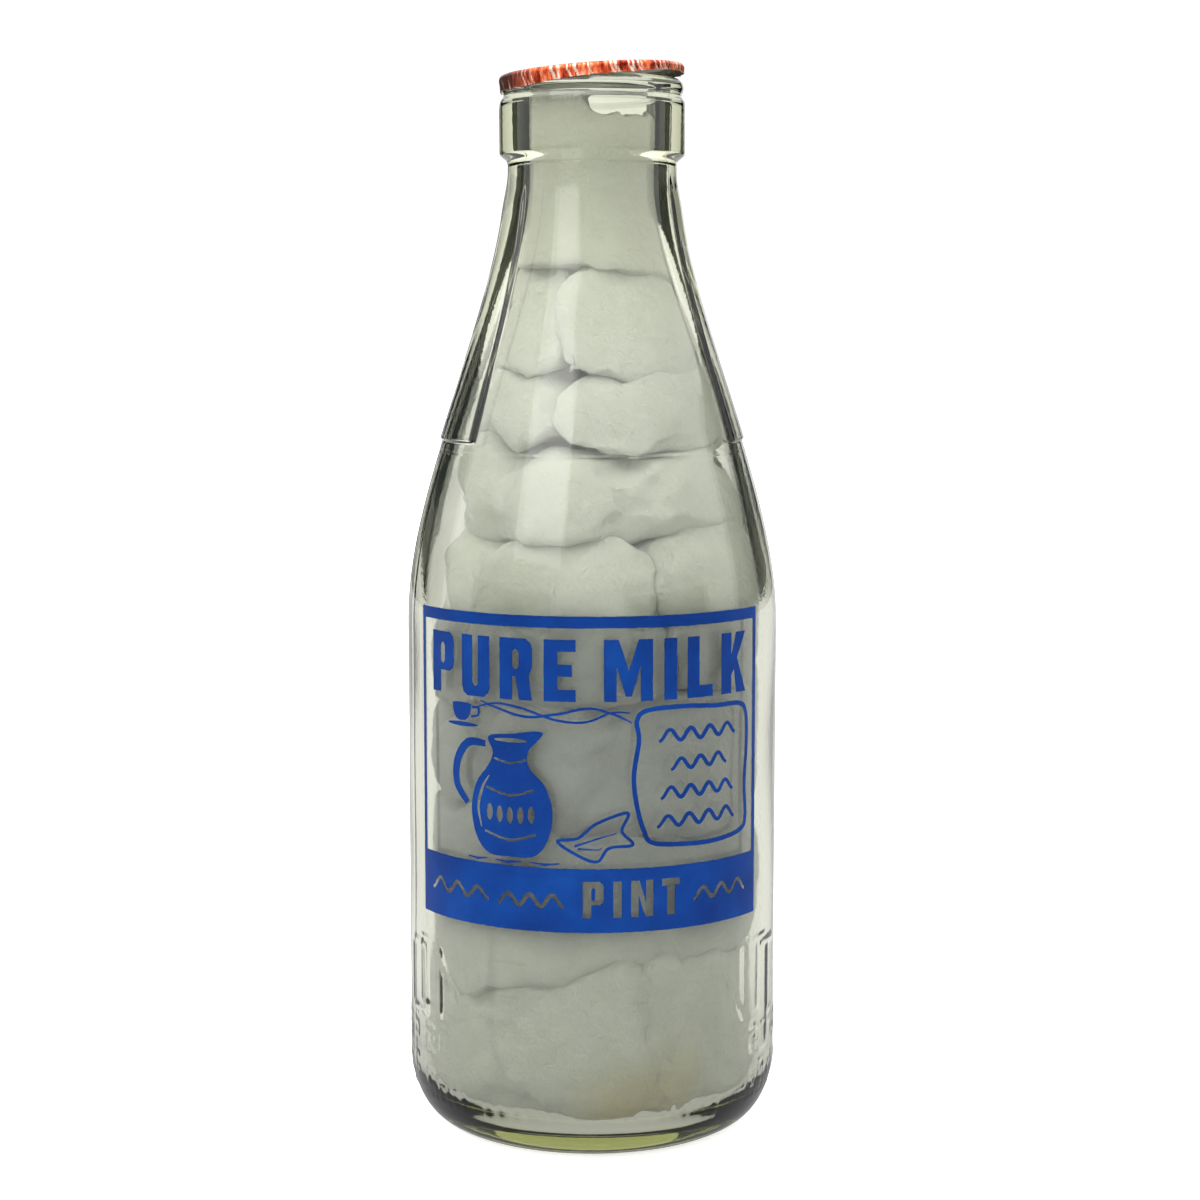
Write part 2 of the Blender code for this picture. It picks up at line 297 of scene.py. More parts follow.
def outer_profile():
    """From the middle of the base up to the top of the lip."""
    base = [(0.0, PUSH_UP), (8.0, PUSH_UP - 0.3), (FOOT_INNER_R - 4.0, 0.5 * PUSH_UP), (FOOT_INNER_R, 0.0), (FOOT_R, 0.0)]
    base = rounded(base, 1.6)
    heel = []
    for i in range(1, 41):
        a = 0.5 * math.pi * i / 40
        heel.append((FOOT_R + (BODY_R - FOOT_R) * math.sin(a) ** (2 / HEEL_POWER), HEEL_H * (1 - math.cos(a) ** (2 / HEEL_POWER))))
    shoulder = [shoulder_point(i / 120) for i in range(121)]
    finish = [
        (NECK_R, COLLAR_LOW_Z - 1.2),
        (NECK_R + 0.25, COLLAR_LOW_Z - 0.5),
        (COLLAR_R - 0.71, COLLAR_LOW_Z),
        (COLLAR_R, COLLAR_LOW_Z + 0.71),
        (COLLAR_R, COLLAR_TOP_Z - 0.5),
        (COLLAR_R - 0.25, COLLAR_TOP_Z),
        (GROOVE_R, COLLAR_TOP_Z + 0.45),
    ]
    middle_z = HEIGHT - 0.5 * BEAD_H
    half = 0.5 * (BEAD_R - BORE_R)
    bead = []
    for i in range(24, -1, -1):
        a = math.radians(90.0 - 132.0 * i / 24)
        bead.append((BEAD_R - half + half * abs(math.cos(a)) ** 0.6, middle_z + 0.5 * BEAD_H * math.sin(a)))
    finish = rounded([shoulder[-1]] + finish + [bead[0]], 0.35, 4)[1:-1]
    return base + heel + [(BODY_R, 47.0), (BODY_R, 78.0)] + shoulder + finish + bead


def inner_profile(extra=0.0):
    """From the middle of the cavity floor up to the lip."""
    r_body = BODY_R - BODY_WALL - extra
    floor_z = FLOOR_Z + extra
    points = [(0.0, floor_z + 1.2), (10.0, floor_z + 0.9), (18.0, floor_z + 0.45)]
    for i in range(0, 13):
        a = math.radians(7.5 * i)
        points.append((r_body - FLOOR_CORNER + FLOOR_CORNER * math.sin(a), floor_z + FLOOR_CORNER * (1.0 - math.cos(a))))
    points += [(r_body, 47.0), (r_body, 78.0)]
    for i in range(61):
        t = i / 60
        r, z = shoulder_point(t)
        b, c = shoulder_point(max(t - 0.01, 0.0)), shoulder_point(min(t + 0.01, 1.0))
        run, rise = c[0] - b[0], c[1] - b[1]
        length = math.hypot(run, rise)
        thick = wall(z) + extra
        points.append((r - thick * rise / length, z + thick * run / length))
    return points + [(BORE_R - extra, HEIGHT - 3.5)]


INNER = inner_profile()
INNER_Z = np.array([p[1] for p in INNER[16:]])
INNER_R = np.array([p[0] for p in INNER[16:]])


def cavity_r(z):
    """Radius of the cavity at heights z, in millimetres."""
    z = np.asarray(z, float)
    r = np.interp(z, INNER_Z, INNER_R)
    low = np.clip((FLOOR_Z + FLOOR_CORNER - z) / FLOOR_CORNER, 0.0, 1.0)
    return np.where(z < INNER_Z[0], BODY_R - BODY_WALL - FLOOR_CORNER + FLOOR_CORNER * np.sqrt(np.clip(1.0 - low**2, 0.0, 1.0)), r)


# --------------------------------------------------------------------------- relief moulded into the lower body: the capacity, in plain strokes

STROKES = {
    "O": ((0, 0, 1, 0), (1, 0, 1, 1), (1, 1, 0, 1), (0, 1, 0, 0)),
    "N": ((0, 0, 0, 1), (0, 1, 1, 0), (1, 0, 1, 1)),
    "E": ((0, 0, 0, 1), (0, 0, 1, 0), (0, 0.5, 0.8, 0.5), (0, 1, 1, 1)),
    "P": ((0, 0, 0, 1), (0, 1, 1, 1), (1, 1, 1, 0.46), (1, 0.46, 0, 0.46)),
    "I": ((0.5, 0, 0.5, 1),),
    "T": ((0.5, 0, 0.5, 1), (0, 1, 1, 1)),
    "F": ((0, 0, 0, 1), (0, 1, 1, 1), (0, 0.5, 0.8, 0.5)),
    "L": ((0, 1, 0, 0), (0, 0, 1, 0)),
    "U": ((0, 1, 0, 0), (0, 0, 1, 0), (1, 0, 1, 1)),
    "D": ((0, 0, 0, 1), (0, 1, 0.7, 1), (0.7, 1, 1, 0.75), (1, 0.75, 1, 0.25), (1, 0.25, 0.7, 0), (0.7, 0, 0, 0)),
    "C": ((1, 1, 0, 1), (0, 1, 0, 0), (0, 0, 1, 0)),
    "S": ((1, 1, 0, 1), (0, 1, 0, 0.5), (0, 0.5, 1, 0.5), (1, 0.5, 1, 0), (1, 0, 0, 0)),
    "R": ((0, 0, 0, 1), (0, 1, 1, 1), (1, 1, 1, 0.5), (1, 0.5, 0, 0.5), (0.4, 0.5, 1, 0)),
    "M": ((0, 0, 0, 1), (0, 1, 0.5, 0.4), (0.5, 0.4, 1, 1), (1, 1, 1, 0)),
    "2": ((0, 1, 1, 1), (1, 1, 1, 0.5), (1, 0.5, 0, 0.5), (0, 0.5, 0, 0), (0, 0, 1, 0)),
    "5": ((1, 1, 0, 1), (0, 1, 0, 0.5), (0, 0.5, 1, 0.5), (1, 0.5, 1, 0), (1, 0, 0, 0)),
    "6": ((1, 1, 0, 1), (0, 1, 0, 0), (0, 0, 1, 0), (1, 0, 1, 0.5), (1, 0.5, 0, 0.5)),
    "8": ((0, 0, 1, 0), (1, 0, 1, 1), (1, 1, 0, 1), (0, 1, 0, 0), (0, 0.5, 1, 0.5)),
    "0": ((0, 0, 1, 0), (1, 0, 1, 1), (1, 1, 0, 1), (0, 1, 0, 0)),
}
# azimuth of the middle in degrees from the label towards +X, character, width, foot, top, half stroke, height
RAISED = []
for turn in (0.0, 180.0):
    for ch, at in (("O", -67.0), ("N", -46.0), ("E", -24.0), ("P", 15.0), ("I", 32.5), ("N", 49.0), ("T", 72.0)):
        RAISED.append((at + turn, ch, 8.2, 26.6, 40.8, 0.72, 0.2))
for text, low, top in (("20 FLUID OUNCES  ", 18.8, 23.9), ("568 MILLILITRES  ", 8.6, 14.4)):
    count = len(text) * 3
    for i in range(count):
        ch = text[i % len(text)]
        if ch != " ":
            RAISED.append((360.0 * i / count - 58.0, ch, 3.0, low, top, 0.42, 0.15))


def relief(azimuth, z):
    """Height in millimetres of the moulded relief at azimuth (radians from the label towards +X) and z."""
    out = np.zeros_like(z)
    rows = np.where((z[:, 0] > 6.0) & (z[:, 0] < 43.0))[0]
    if len(rows) == 0:
        return out
    az = azimuth[0]
    for at, ch, width, low, top, half, height in RAISED:
        d_az = np.mod(az - math.radians(at) + math.pi, 2 * math.pi) - math.pi
        cols = np.where(np.abs(d_az) * BODY_R < 0.5 * width + 2.0)[0]
        zz = z[rows, 0]
        use = rows[(zz > low - 2.0) & (zz < top + 2.0)]
        if len(use) == 0:
            continue
        U, Z = np.meshgrid(d_az[cols] * BODY_R, z[use, 0])
        d = np.full_like(Z, 9.0)
        for x0, y0, x1, y1 in STROKES[ch]:
            ax, az_ = (x0 - 0.5) * width, low + y0 * (top - low)
            bx, bz = (x1 - 0.5) * width, low + y1 * (top - low)
            dx, dz = bx - ax, bz - az_
            t = np.clip(((U - ax) * dx + (Z - az_) * dz) / (dx * dx + dz * dz + 1e-9), 0.0, 1.0)
            d = np.minimum(d, np.hypot(U - ax - t * dx, Z - az_ - t * dz))
        block = height * smooth((half + 0.3 - d) / 0.6)
        out[np.ix_(use, cols)] = np.maximum(out[np.ix_(use, cols)], block)
    return out


def panel_height(azimuth, z):
    """The raised side panels of the neck. azimuth is from the label towards +X."""
    out = np.zeros_like(z)
    for middle in PANEL_MIDDLES:
        m = math.radians(middle + 90.0)
        d = np.abs(np.mod(azimuth - m + math.pi, 2 * math.pi) - math.pi)
        half = math.radians(0.5 * PANEL_WIDTH)
        r = 24.0
        side = smooth(((half - d) * r + 0.45) / 0.9)
        low = smooth((z - PANEL_LOW_Z + 0.35) / 0.8)
        high = smooth((PANEL_TOP_Z - z + 4.0) / 8.0)
        out = np.maximum(out, PANEL_RAISE * side * low * high)
    return out


def seams(azimuth, z):
    """The mould's parting lines: one up each side, and a faint ring at the foot of the panels."""
    d = np.abs(np.mod(azimuth - math.radians(99.5) + 0.5 * math.pi, math.pi) - 0.5 * math.pi) * 30.0
    up_side = 0.10 * smooth((0.5 - d) / 0.4) * smooth((z - 3.0) / 4.0) * smooth((214.0 - z) / 2.0)
    ring = 0.07 * smooth((0.4 - np.abs(z - 142.6)) / 0.35)
    return np.maximum(up_side, ring)


def waviness(azimuth, z, amount, seed):
    """Slow ripples left by blowing the glass, the same each time."""
    out = np.zeros_like(z)
    rng = np.random.RandomState(seed)
    for k in range(14):
        n = rng.randint(1, 9)
        m = rng.uniform(-0.16, 0.16)
        out += rng.uniform(0.2, 1.0) * np.sin(n * azimuth + m * z + rng.uniform(0, 6.28)) / (1.0 + 0.35 * n)
    return amount * out / 3.0


def turned(profile, segments, offset, flip):
    """Vertices and faces of a turned surface with its radius moved by offset(azimuth, z), which starts on the axis."""
    az = np.linspace(0.0, 2.0 * math.pi, segments, endpoint=False)
    rows = np.array(profile[1:])
    A, Z = np.meshgrid(az, rows[:, 1])
    R = np.repeat(rows[:, 0:1], segments, 1) + offset(A, Z, np.repeat(rows[:, 0:1], segments, 1))
    verts = np.stack([R * np.sin(A), -R * np.cos(A), Z], -1).reshape(-1, 3)
    verts = np.vstack([[[0.0, 0.0, profile[0][1]]], verts])
    faces = []
    for j in range(segments):
        k = (j + 1) % segments
        faces.append((0, 1 + k, 1 + j) if not flip else (0, 1 + j, 1 + k))
    n = len(rows)
    for i in range(n - 1):
        a = 1 + i * segments
        b = a + segments
        for j in range(segments):
            k = (j + 1) % segments
            faces.append((a + j, a + k, b + k, b + j) if not flip else (a + k, a + j, b + j, b + k))
    return verts, faces, n


def outer_offset(A, Z, R):
    body = smooth((Z - 2.0) / 8.0) * smooth((HEIGHT - 3.0 - Z) / 10.0)
    keep = smooth((R - 24.0) / 6.0)
    return relief(A, Z) * keep + panel_height(A, Z) + seams(A, Z) * (R > 15) + waviness(A, Z, 0.11, 4) * body


def inner_offset(A, Z, R):
    body = smooth((Z - 9.0) / 12.0) * smooth((HEIGHT - 8.0 - Z) / 20.0)
    return waviness(A, Z, 0.26, 9) * body * (R > 4)


def step_outer(z):
    if z < 12.0:
        return 0.8
    if z < 46.0:
        return 0.5
    if z < 110.0:
        return 3.5
    if 140.0 < z < 147.5:
        return 0.25
    if z < 199.0:
        return 1.3
    return 0.4


SEG = 336
outer = resample(outer_profile(), step_outer)
inner = resample(INNER, lambda z: 2.4 if 18.0 < z < 212.0 else 1.0)
ov, of_, on = turned(outer, SEG, outer_offset, False)
iv, if_, inn = turned(inner, SEG, inner_offset, True)
shift = len(ov)
verts = np.vstack([ov, iv])
faces = of_ + [tuple(i + shift for i in f) for f in if_]
# The rounded inside edge of the lip joins the two
last_out = 1 + (on - 1) * SEG
last_in = shift + 1 + (inn - 1) * SEG
bridge = [(BORE_R + 0.55, HEIGHT - 0.35), (BORE_R + 0.12, HEIGHT - 1.2)]
rings = [last_out]
for r, z in bridge:
    start = len(verts)
    az = np.linspace(0.0, 2.0 * math.pi, SEG, endpoint=False)
    verts = np.vstack([verts, np.stack([r * np.sin(az), -r * np.cos(az), np.full(SEG, z)], -1)])
    rings.append(start)
rings.append(last_in)
for a, b in zip(rings[:-1], rings[1:]):
    for j in range(SEG):
        k = (j + 1) % SEG
        faces.append((a + j, a + k, b + k, b + j))


def glass_material():
    mat, nt, shader = nodes_of("clear_glass")
    shader.inputs["Base Color"].default_value = (0.985, 0.995, 0.98, 1)
    shader.inputs["Roughness"].default_value = 0.0
    shader.inputs["IOR"].default_value = 1.52
    shader.inputs["Transmission Weight"].default_value = 1.0
    # Handling wear: faint scuffs on the body where bottles rub in the crate
    co = node(nt, "ShaderNodeTexCoord")
    fine = node(nt, "ShaderNodeTexNoise", Scale=900.0, Detail=3.0)
    nt.links.new(co.outputs["Object"], fine.inputs["Vector"])
    bump = node(nt, "ShaderNodeBump", Strength=0.02, Distance=0.0004)
    nt.links.new(fine.outputs["Fac"], bump.inputs["Height"])
    nt.links.new(bump.outputs["Normal"], shader.inputs["Normal"])
    absorb = node(nt, "ShaderNodeVolumeAbsorption")
    absorb.inputs["Color"].default_value = (0.52, 0.545, 0.10, 1)
    absorb.inputs["Density"].default_value = 38.0
    nt.links.new(absorb.outputs["Volume"], nt.nodes["Material Output"].inputs["Volume"])
    return mat


glass = new_piece("bottle_glass", verts * MM, faces, glass_material(), "bottle")
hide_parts("glass_bottle")

# --------------------------------------------------------------------------- enamel label, drawn flat as (distance round the glass, height) and wrapped on

ENAMEL_R = BODY_R + 0.06
ENAMEL_T = 0.07
ARC = math.radians(60.5)
LABEL_LOW, LABEL_TOP = 48.5, 111.8
HALF = ARC * BODY_R


def enamel_material():
    mat, nt, shader = nodes_of("blue_enamel")
    co = node(nt, "ShaderNodeTexCoord")
    cloud = node(nt, "ShaderNodeTexNoise", Scale=70.0, Detail=5.0, Roughness=0.6)
    nt.links.new(co.outputs["Object"], cloud.inputs["Vector"])
    colour = ramp(nt, [(0.3, (0.0008, 0.014, 0.088)), (0.55, (0.001, 0.022, 0.128)), (0.8, (0.0015, 0.034, 0.17))], cloud.outputs["Fac"])
    nt.links.new(colour.outputs["Color"], shader.inputs["Base Color"])
    rough = node(nt, "ShaderNodeTexNoise", Scale=240.0, Detail=4.0)
    nt.links.new(co.outputs["Object"], rough.inputs["Vector"])
    rr = node(nt, "ShaderNodeMapRange")
    rr.inputs["To Min"].default_value = 0.14
    rr.inputs["To Max"].default_value = 0.32
    nt.links.new(rough.outputs["Fac"], rr.inputs["Value"])
    nt.links.new(rr.outputs["Result"], shader.inputs["Roughness"])
    grain = node(nt, "ShaderNodeTexNoise", Scale=1500.0, Detail=3.0)
    nt.links.new(co.outputs["Object"], grain.inputs["Vector"])
    bump = node(nt, "ShaderNodeBump", Strength=0.12, Distance=0.0002)
    nt.links.new(grain.outputs["Fac"], bump.inputs["Height"])
    nt.links.new(bump.outputs["Normal"], shader.inputs["Normal"])
    shader.inputs["IOR"].default_value = 1.45
    shader.inputs["Specular IOR Level"].default_value = 0.08
    return mat


ENAMEL = enamel_material()


def flat_curve(name, loops):
    """A filled 2D curve from closed loops of points, with holes where loops nest."""
    cu = bpy.data.curves.new(name, "CURVE")
    cu.dimensions = "2D"
    cu.fill_mode = "BOTH"
    for loop in loops:
        sp = cu.splines.new("POLY")
        sp.points.add(len(loop) - 1)
        for p, (x, y) in zip(sp.points, loop):
            p.co = (x, y, 0.0, 1.0)
        sp.use_cyclic_u = True
    obj = bpy.data.objects.new(name, cu)
    scene.collection.objects.link(obj)
    return obj


def wrapped(name, obj, body="bottle", thickness=ENAMEL_T, radius=ENAMEL_R, mat=None, grid=1.6):
    """Takes a flat object's mesh, cuts it finely enough to bend, wraps it round the bottle and gives it thickness. obj is removed."""
    bpy.context.view_layer.update()
    dg = bpy.context.evaluated_depsgraph_get()
    mesh = bpy.data.meshes.new_from_object(obj.evaluated_get(dg), depsgraph=dg)
    data = obj.data
    bpy.data.objects.remove(obj)
    bm = bmesh.new()
    bm.from_mesh(mesh)
    bpy.data.meshes.remove(mesh)
    bmesh.ops.remove_doubles(bm, verts=bm.verts[:], dist=1e-5)
    xs = [v.co.x for v in bm.verts]
    lo, hi = min(xs), max(xs)
    x = math.floor(lo / grid) * grid + grid
    while x < hi:
        bmesh.ops.bisect_plane(bm, geom=bm.verts[:] + bm.edges[:] + bm.faces[:], plane_co=(x, 0, 0), plane_no=(1, 0, 0), dist=1e-5)
        x += grid
    for f in bm.faces:
        if f.normal.z < 0:
            f.normal_flip()
    top = [v for v in bm.verts]
    made = bmesh.ops.extrude_face_region(bm, geom=bm.faces[:], use_keep_orig=True)
    lifted = [v for v in made["geom"] if isinstance(v, bmesh.types.BMVert)]
    for v in lifted:
        v.co.z += thickness
    bmesh.ops.recalc_face_normals(bm, faces=bm.faces[:])
    for v in bm.verts:
        a = v.co.x / BODY_R
        r = radius + v.co.z
        v.co = Vector((r * math.sin(a), -r * math.cos(a), v.co.y)) * MM
    out = bpy.data.meshes.new(name)
    bm.to_mesh(out)
    bm.free()
    out.materials.append(mat or ENAMEL)
    piece = bpy.data.objects.new(name, out)
    scene.collection.objects.link(piece)
    out.shade_smooth()
    out.set_sharp_from_angle(angle=math.radians(40))
    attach(piece, body)
    return piece


def rect(x0, y0, x1, y1, r=0.0, n=6):
    """A rectangle's loop, with rounded corners if r is given."""
    if r <= 0:
        return [(x0, y0), (x1, y0), (x1, y1), (x0, y1)]
    pts = []
    for cx, cy, s in ((x1 - r, y0 + r, -90), (x1 - r, y1 - r, 0), (x0 + r, y1 - r, 90), (x0 + r, y0 + r, 180)):
        for i in range(n + 1):
            a = math.radians(s + 90 * i / n)
            pts.append((cx + r * math.cos(a), cy + r * math.sin(a)))
    return pts


def rough_edge(loop, amount, step, seed):
    """The small unevenness of a screen-printed edge."""
    rng = np.random.RandomState(seed)
    out = []
    n = len(loop)
    for i in range(n):
        x0, y0 = loop[i]
        x1, y1 = loop[(i + 1) % n]
        length = math.hypot(x1 - x0, y1 - y0)
        parts = max(1, int(length / step))
        for k in range(parts):
            t = k / parts
            x, y = x0 + (x1 - x0) * t, y0 + (y1 - y0) * t
            if k:
                x += rng.uniform(-amount, amount)
                y += rng.uniform(-amount, amount)
            out.append((x, y))
    return out


def band_path(points, width, taper=None, closed=False):
    """The outline of a stroke of the given width along points."""
    pts = [Vector(p) for p in points]
    left, right_ = [], []
    n = len(pts)
    for i, p in enumerate(pts):
        if closed:
            d = pts[(i + 1) % n] - pts[i - 1]
        else:
            d = pts[min(i + 1, n - 1)] - pts[max(i - 1, 0)]
        d.normalize()
        w = 0.5 * width * (taper(i / (n - 1)) if taper else 1.0)
        s = Vector((-d.y, d.x)) * w
        left.append(tuple(p + s))
        right_.append(tuple(p - s))
    if closed:
        return [left, right_[::-1]]
    return [left + right_[::-1]]


def spline(points, n=60, closed=False):
    """A smooth curve through points."""
    out = []
    m = len(points)
    count = m if closed else m - 1
    for k in range(count):
        if closed:
            p = [points[(k + j - 1) % m] for j in range(4)]
        else:
            p = [points[min(max(k + j - 1, 0), m - 1)] for j in range(4)]
        steps = max(2, n // count)
        for i in range(steps):
            t = i / steps
            out.append(tuple(0.5 * (2 * b + (c - a) * t + (2 * a - 5 * b + 4 * c - d) * t * t + (3 * b - 3 * c + d - a) * t**3) for a, b, c, d in zip(*p)))
    if not closed:
        out.append(tuple(points[-1]))
    return out


# Block letters on a grid: each is a list of loops in a box 1 high, width as given
def bar_letter(ch, w, s):
    """Loops of one bold block letter w wide and 1 high with strokes s wide."""
    t = s * 0.86
    if ch == "F":
        return [[(0, 0), (s, 0), (s, 0.5 - t / 2), (w * 0.86, 0.5 - t / 2), (w * 0.86, 0.5 + t / 2), (s, 0.5 + t / 2), (s, 1 - t), (w, 1 - t), (w, 1), (0, 1)]]
    if ch == "R":
        hole = rect(s, 0.47 + t * 0.1, w - s, 1 - t * 0.85, 0.09)
        return [[(0, 0), (s, 0), (s, 0.38), (w * 0.5, 0.38), (w - s * 0.98, 0), (w, 0), (w * 0.9, 0.4), (w * 0.99, 0.52), (w, 0.6), (w, 0.84), (w * 0.95, 0.93), (w * 0.8, 1), (0, 1)], hole]
    if ch == "E":
        return [[(0, 0), (w, 0), (w, t), (s, t), (s, 0.5 - t / 2), (w * 0.88, 0.5 - t / 2), (w * 0.88, 0.5 + t / 2), (s, 0.5 + t / 2), (s, 1 - t), (w, 1 - t), (w, 1), (0, 1)]]
    if ch == "S":
        return [[(0, 0.17), (0.05 * w, 0.07), (0.2 * w, 0), (0.8 * w, 0), (0.95 * w, 0.07), (w, 0.17), (w, 0.44), (0.93 * w, 0.53), (0.8 * w, 0.59), (s, 0.64), (s, 1 - t), (w - s, 1 - t), (w - s, 0.73), (w, 0.73), (w, 0.83), (0.95 * w, 0.93), (0.8 * w, 1), (0.2 * w, 1), (0.05 * w, 0.93), (0, 0.83), (0, 0.58), (0.06 * w, 0.5), (0.2 * w, 0.45), (w - s, 0.38), (w - s, t), (s, t), (s, 0.28), (0, 0.28)]]
    if ch == "H":
        return [[(0, 0), (s, 0), (s, 0.5 - t / 2), (w - s, 0.5 - t / 2), (w - s, 0), (w, 0), (w, 1), (w - s, 1), (w - s, 0.5 + t / 2), (s, 0.5 + t / 2), (s, 1), (0, 1)]]
    if ch == "M":
        return [[(0, 0), (s * 0.9, 0), (s * 0.9, 0.58), (w * 0.5 - s * 0.22, 0.08), (w * 0.5 + s * 0.22, 0.08), (w - s * 0.9, 0.58), (w - s * 0.9, 0), (w, 0), (w, 1), (w - s * 1.05, 1), (w * 0.5, 0.5), (s * 1.05, 1), (0, 1)]]
    if ch == "U":
        return [[(0, 0.17), (0.05 * w, 0.07), (0.2 * w, 0), (0.8 * w, 0), (0.95 * w, 0.07), (w, 0.17), (w, 1), (w - s, 1), (w - s, 0.85 * t + 0.06), (w - s - 0.04, 0.85 * t), (s + 0.04, 0.85 * t), (s, 0.85 * t + 0.06), (s, 1), (0, 1)]]
    if ch == "I":
        return [[(0, 0), (s, 0), (s, 1), (0, 1)]]
    if ch == "L":
        return [[(0, 0), (w, 0), (w, t), (s, t), (s, 1), (0, 1)]]
    if ch == "K":
        return [[(0, 0), (s, 0), (s, 0.3), (s + 0.07, 0.41), (w - s * 1.08, 0), (w, 0), (w * 0.62, 0.58), (w * 0.98, 1), (w - s * 1.12, 1), (s, 0.6), (s, 1), (0, 1)]]
    if ch == "P":
        hole = rect(s, 0.47, w - s, 1 - t * 0.85, 0.09)
        return [[(0, 0), (s, 0), (s, 0.36), (w * 0.8, 0.36), (w * 0.95, 0.42), (w, 0.53), (w, 0.84), (w * 0.95, 0.93), (w * 0.8, 1), (0, 1)], hole]
    if ch == "N":
        return [[(0, 0), (s * 0.9, 0), (s * 0.9, 0.6), (w - s * 1.0, 0), (w, 0), (w, 1), (w - s * 0.9, 1), (w - s * 0.9, 0.4), (s * 1.0, 1), (0, 1)]]
    if ch == "T":
        return [[(w / 2 - s / 2, 0), (w / 2 + s / 2, 0), (w / 2 + s / 2, 1 - t), (w, 1 - t), (w, 1), (0, 1), (0, 1 - t), (w / 2 - s / 2, 1 - t)]]
    if ch == "O":
        return [rect(0, 0, w, 1, 0.16), rect(s, t * 0.9, w - s, 1 - t * 0.9, 0.07)]
    if ch == "1":
        return [[(0.08, 0), (0.08 + s, 0), (0.08 + s, 1), (0.08, 1), (0, 0.86), (0.08, 0.8)]]
    return []


LETTER_W = {"M": 0.80, "N": 0.62, "K": 0.60, "T": 0.52, "L": 0.50, "E": 0.52}


def word_loops(text, x0, y0, height, total, stroke=0.235, space=0.3):
    """Loops of a line of block letters from x0 to x0 + total."""
    widths = [space if c == " " else stroke if c == "I" else LETTER_W.get(c, 0.57) for c in text]
    natural = sum(widths)
    gap = (total / height - natural) / (len(text) - 1)
    loops = []
    x = 0.0
    for c, w in zip(text, widths):
        if c != " ":
            for loop in bar_letter(c, w, min(stroke, w)):
                loops.append([(x0 + (x + px) * height, y0 + py * height) for px, py in loop])
        x += w + gap
    return loops


# Frame, with the band's pattern left clear in it
border, side = 2.35, math.radians(1.7) * BODY_R
BAND_TOP = LABEL_LOW + 12.9
frame_loops = [rough_edge(rect(-HALF, LABEL_LOW, HALF, LABEL_TOP, 0.35), 0.035, 0.9, 1)]
frame_loops.append(rough_edge(rect(-HALF + side, BAND_TOP, HALF - side, LABEL_TOP - border, 0.3), 0.035, 0.9, 2))


def script_wave(x0, x1, y, height, loops_count, slant=0.35):
    """A looping pen line, like handwriting with no letters in it."""
    pts = []
    n = loops_count * 16
    for i in range(n + 1):
        t = i / n
        a = 2 * math.pi * loops_count * t
        amp = height * (0.5 + 0.22 * math.sin(2.7 * a / 3.0 + 0.8))
        dy = amp * math.sin(a)
        pts.append((x0 + (x1 - x0) * t - 0.55 * height * math.cos(a) * 0.5 + slant * dy, y + dy))
    return pts


band_mid = LABEL_LOW + 6.4


def pen_line(x0, x1, y, humps, heights, slant, width, lead=0.0):
    """A plain wavy line, as a closed outline."""
    n = 14 * humps
    pts = []
    for i in range(n + 1):
        t = i / n
        h = heights[0] + (heights[1] - heights[0]) * t
        pts.append((x0 + (x1 - x0) * t, y + 0.5 * h - 0.5 * h * math.cos(2 * math.pi * humps * t) + slant * t))
    return band_path(pts, width, lambda t: 0.5 + 0.5 * math.sin(math.pi * min(max(t, 0.03), 0.97)) ** 0.3)


frame_loops += word_loops("PINT", -0.6, LABEL_LOW + 3.0, 7.4, 20.0, 0.23, 0.2)
frame_loops += pen_line(-37.2, -20.6, LABEL_LOW + 5.5, 3, (2.4, 2.2), 0.0, 0.9)
frame_loops += pen_line(-18.4, -4.4, LABEL_LOW + 5.1, 3, (2.2, 2.4), 0.0, 0.9)
frame_loops += pen_line(22.6, 37.2, LABEL_LOW + 5.4, 3, (2.3, 2.3), 0.3, 0.9)
frame_piece = wrapped("enamel_frame_and_band", flat_curve("frame", frame_loops))
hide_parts("label_frame")

heading_loops = word_loops("PURE MILK", -36.6, 94.9, 12.3, 73.6, 0.225, 0.06)
heading_piece = wrapped("enamel_heading", flat_curve("heading", [rough_edge(l, 0.03, 1.3, 10 + i) for i, l in enumerate(heading_loops)]))
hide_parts("label_heading")


def ellipse(cx, cy, rx, ry, n=36, a0=0.0, a1=360.0):
    return [(cx + rx * math.cos(math.radians(a0 + (a1 - a0) * i / n)), cy + ry * math.sin(math.radians(a0 + (a1 - a0) * i / n))) for i in range(n + (a1 - a0 < 359.0))]


# A plain milk jug with a cup and saucer above it and a folded cloth beside it
jug = spline([(-20.6, 63.6), (-23.6, 67.0), (-24.7, 72.4), (-23.4, 77.6), (-20.6, 81.2), (-19.4, 84.0), (-20.4, 87.2), (-15.6, 88.0), (-8.6, 88.6), (-11.6, 84.6), (-11.4, 81.4), (-8.0, 77.6), (-6.6, 72.4), (-7.6, 67.0), (-10.4, 63.6), (-15.5, 63.2)], 120, closed=True)
art = [rough_edge(jug, 0.03, 1.2, 31)]
art.append(ellipse(-15.4, 86.7, 3.7, 0.42, 28))
art += band_path(spline([(-22.2, 68.6), (-23.0, 72.6), (-22.0, 76.6), (-20.3, 79.3)], 24), 0.75, lambda t: 0.3 + 0.7 * math.sin(math.pi * t))
art += band_path(spline([(-21.0, 76.9), (-15.6, 75.6), (-10.4, 76.9)], 30), 0.5)
art += band_path(spline([(-21.4, 68.0), (-15.6, 66.6), (-10.0, 68.0)], 30), 0.5)
for k in range(5):
    x = -20.2 + 2.3 * k
    art.append(ellipse(x, 71.9 - 0.35 * math.cos((k - 2) * 0.8), 0.72, 1.7, 20))
art += band_path(spline([(-19.2, 82.9), (-15.6, 82.1), (-12.0, 82.9)], 24), 0.42)
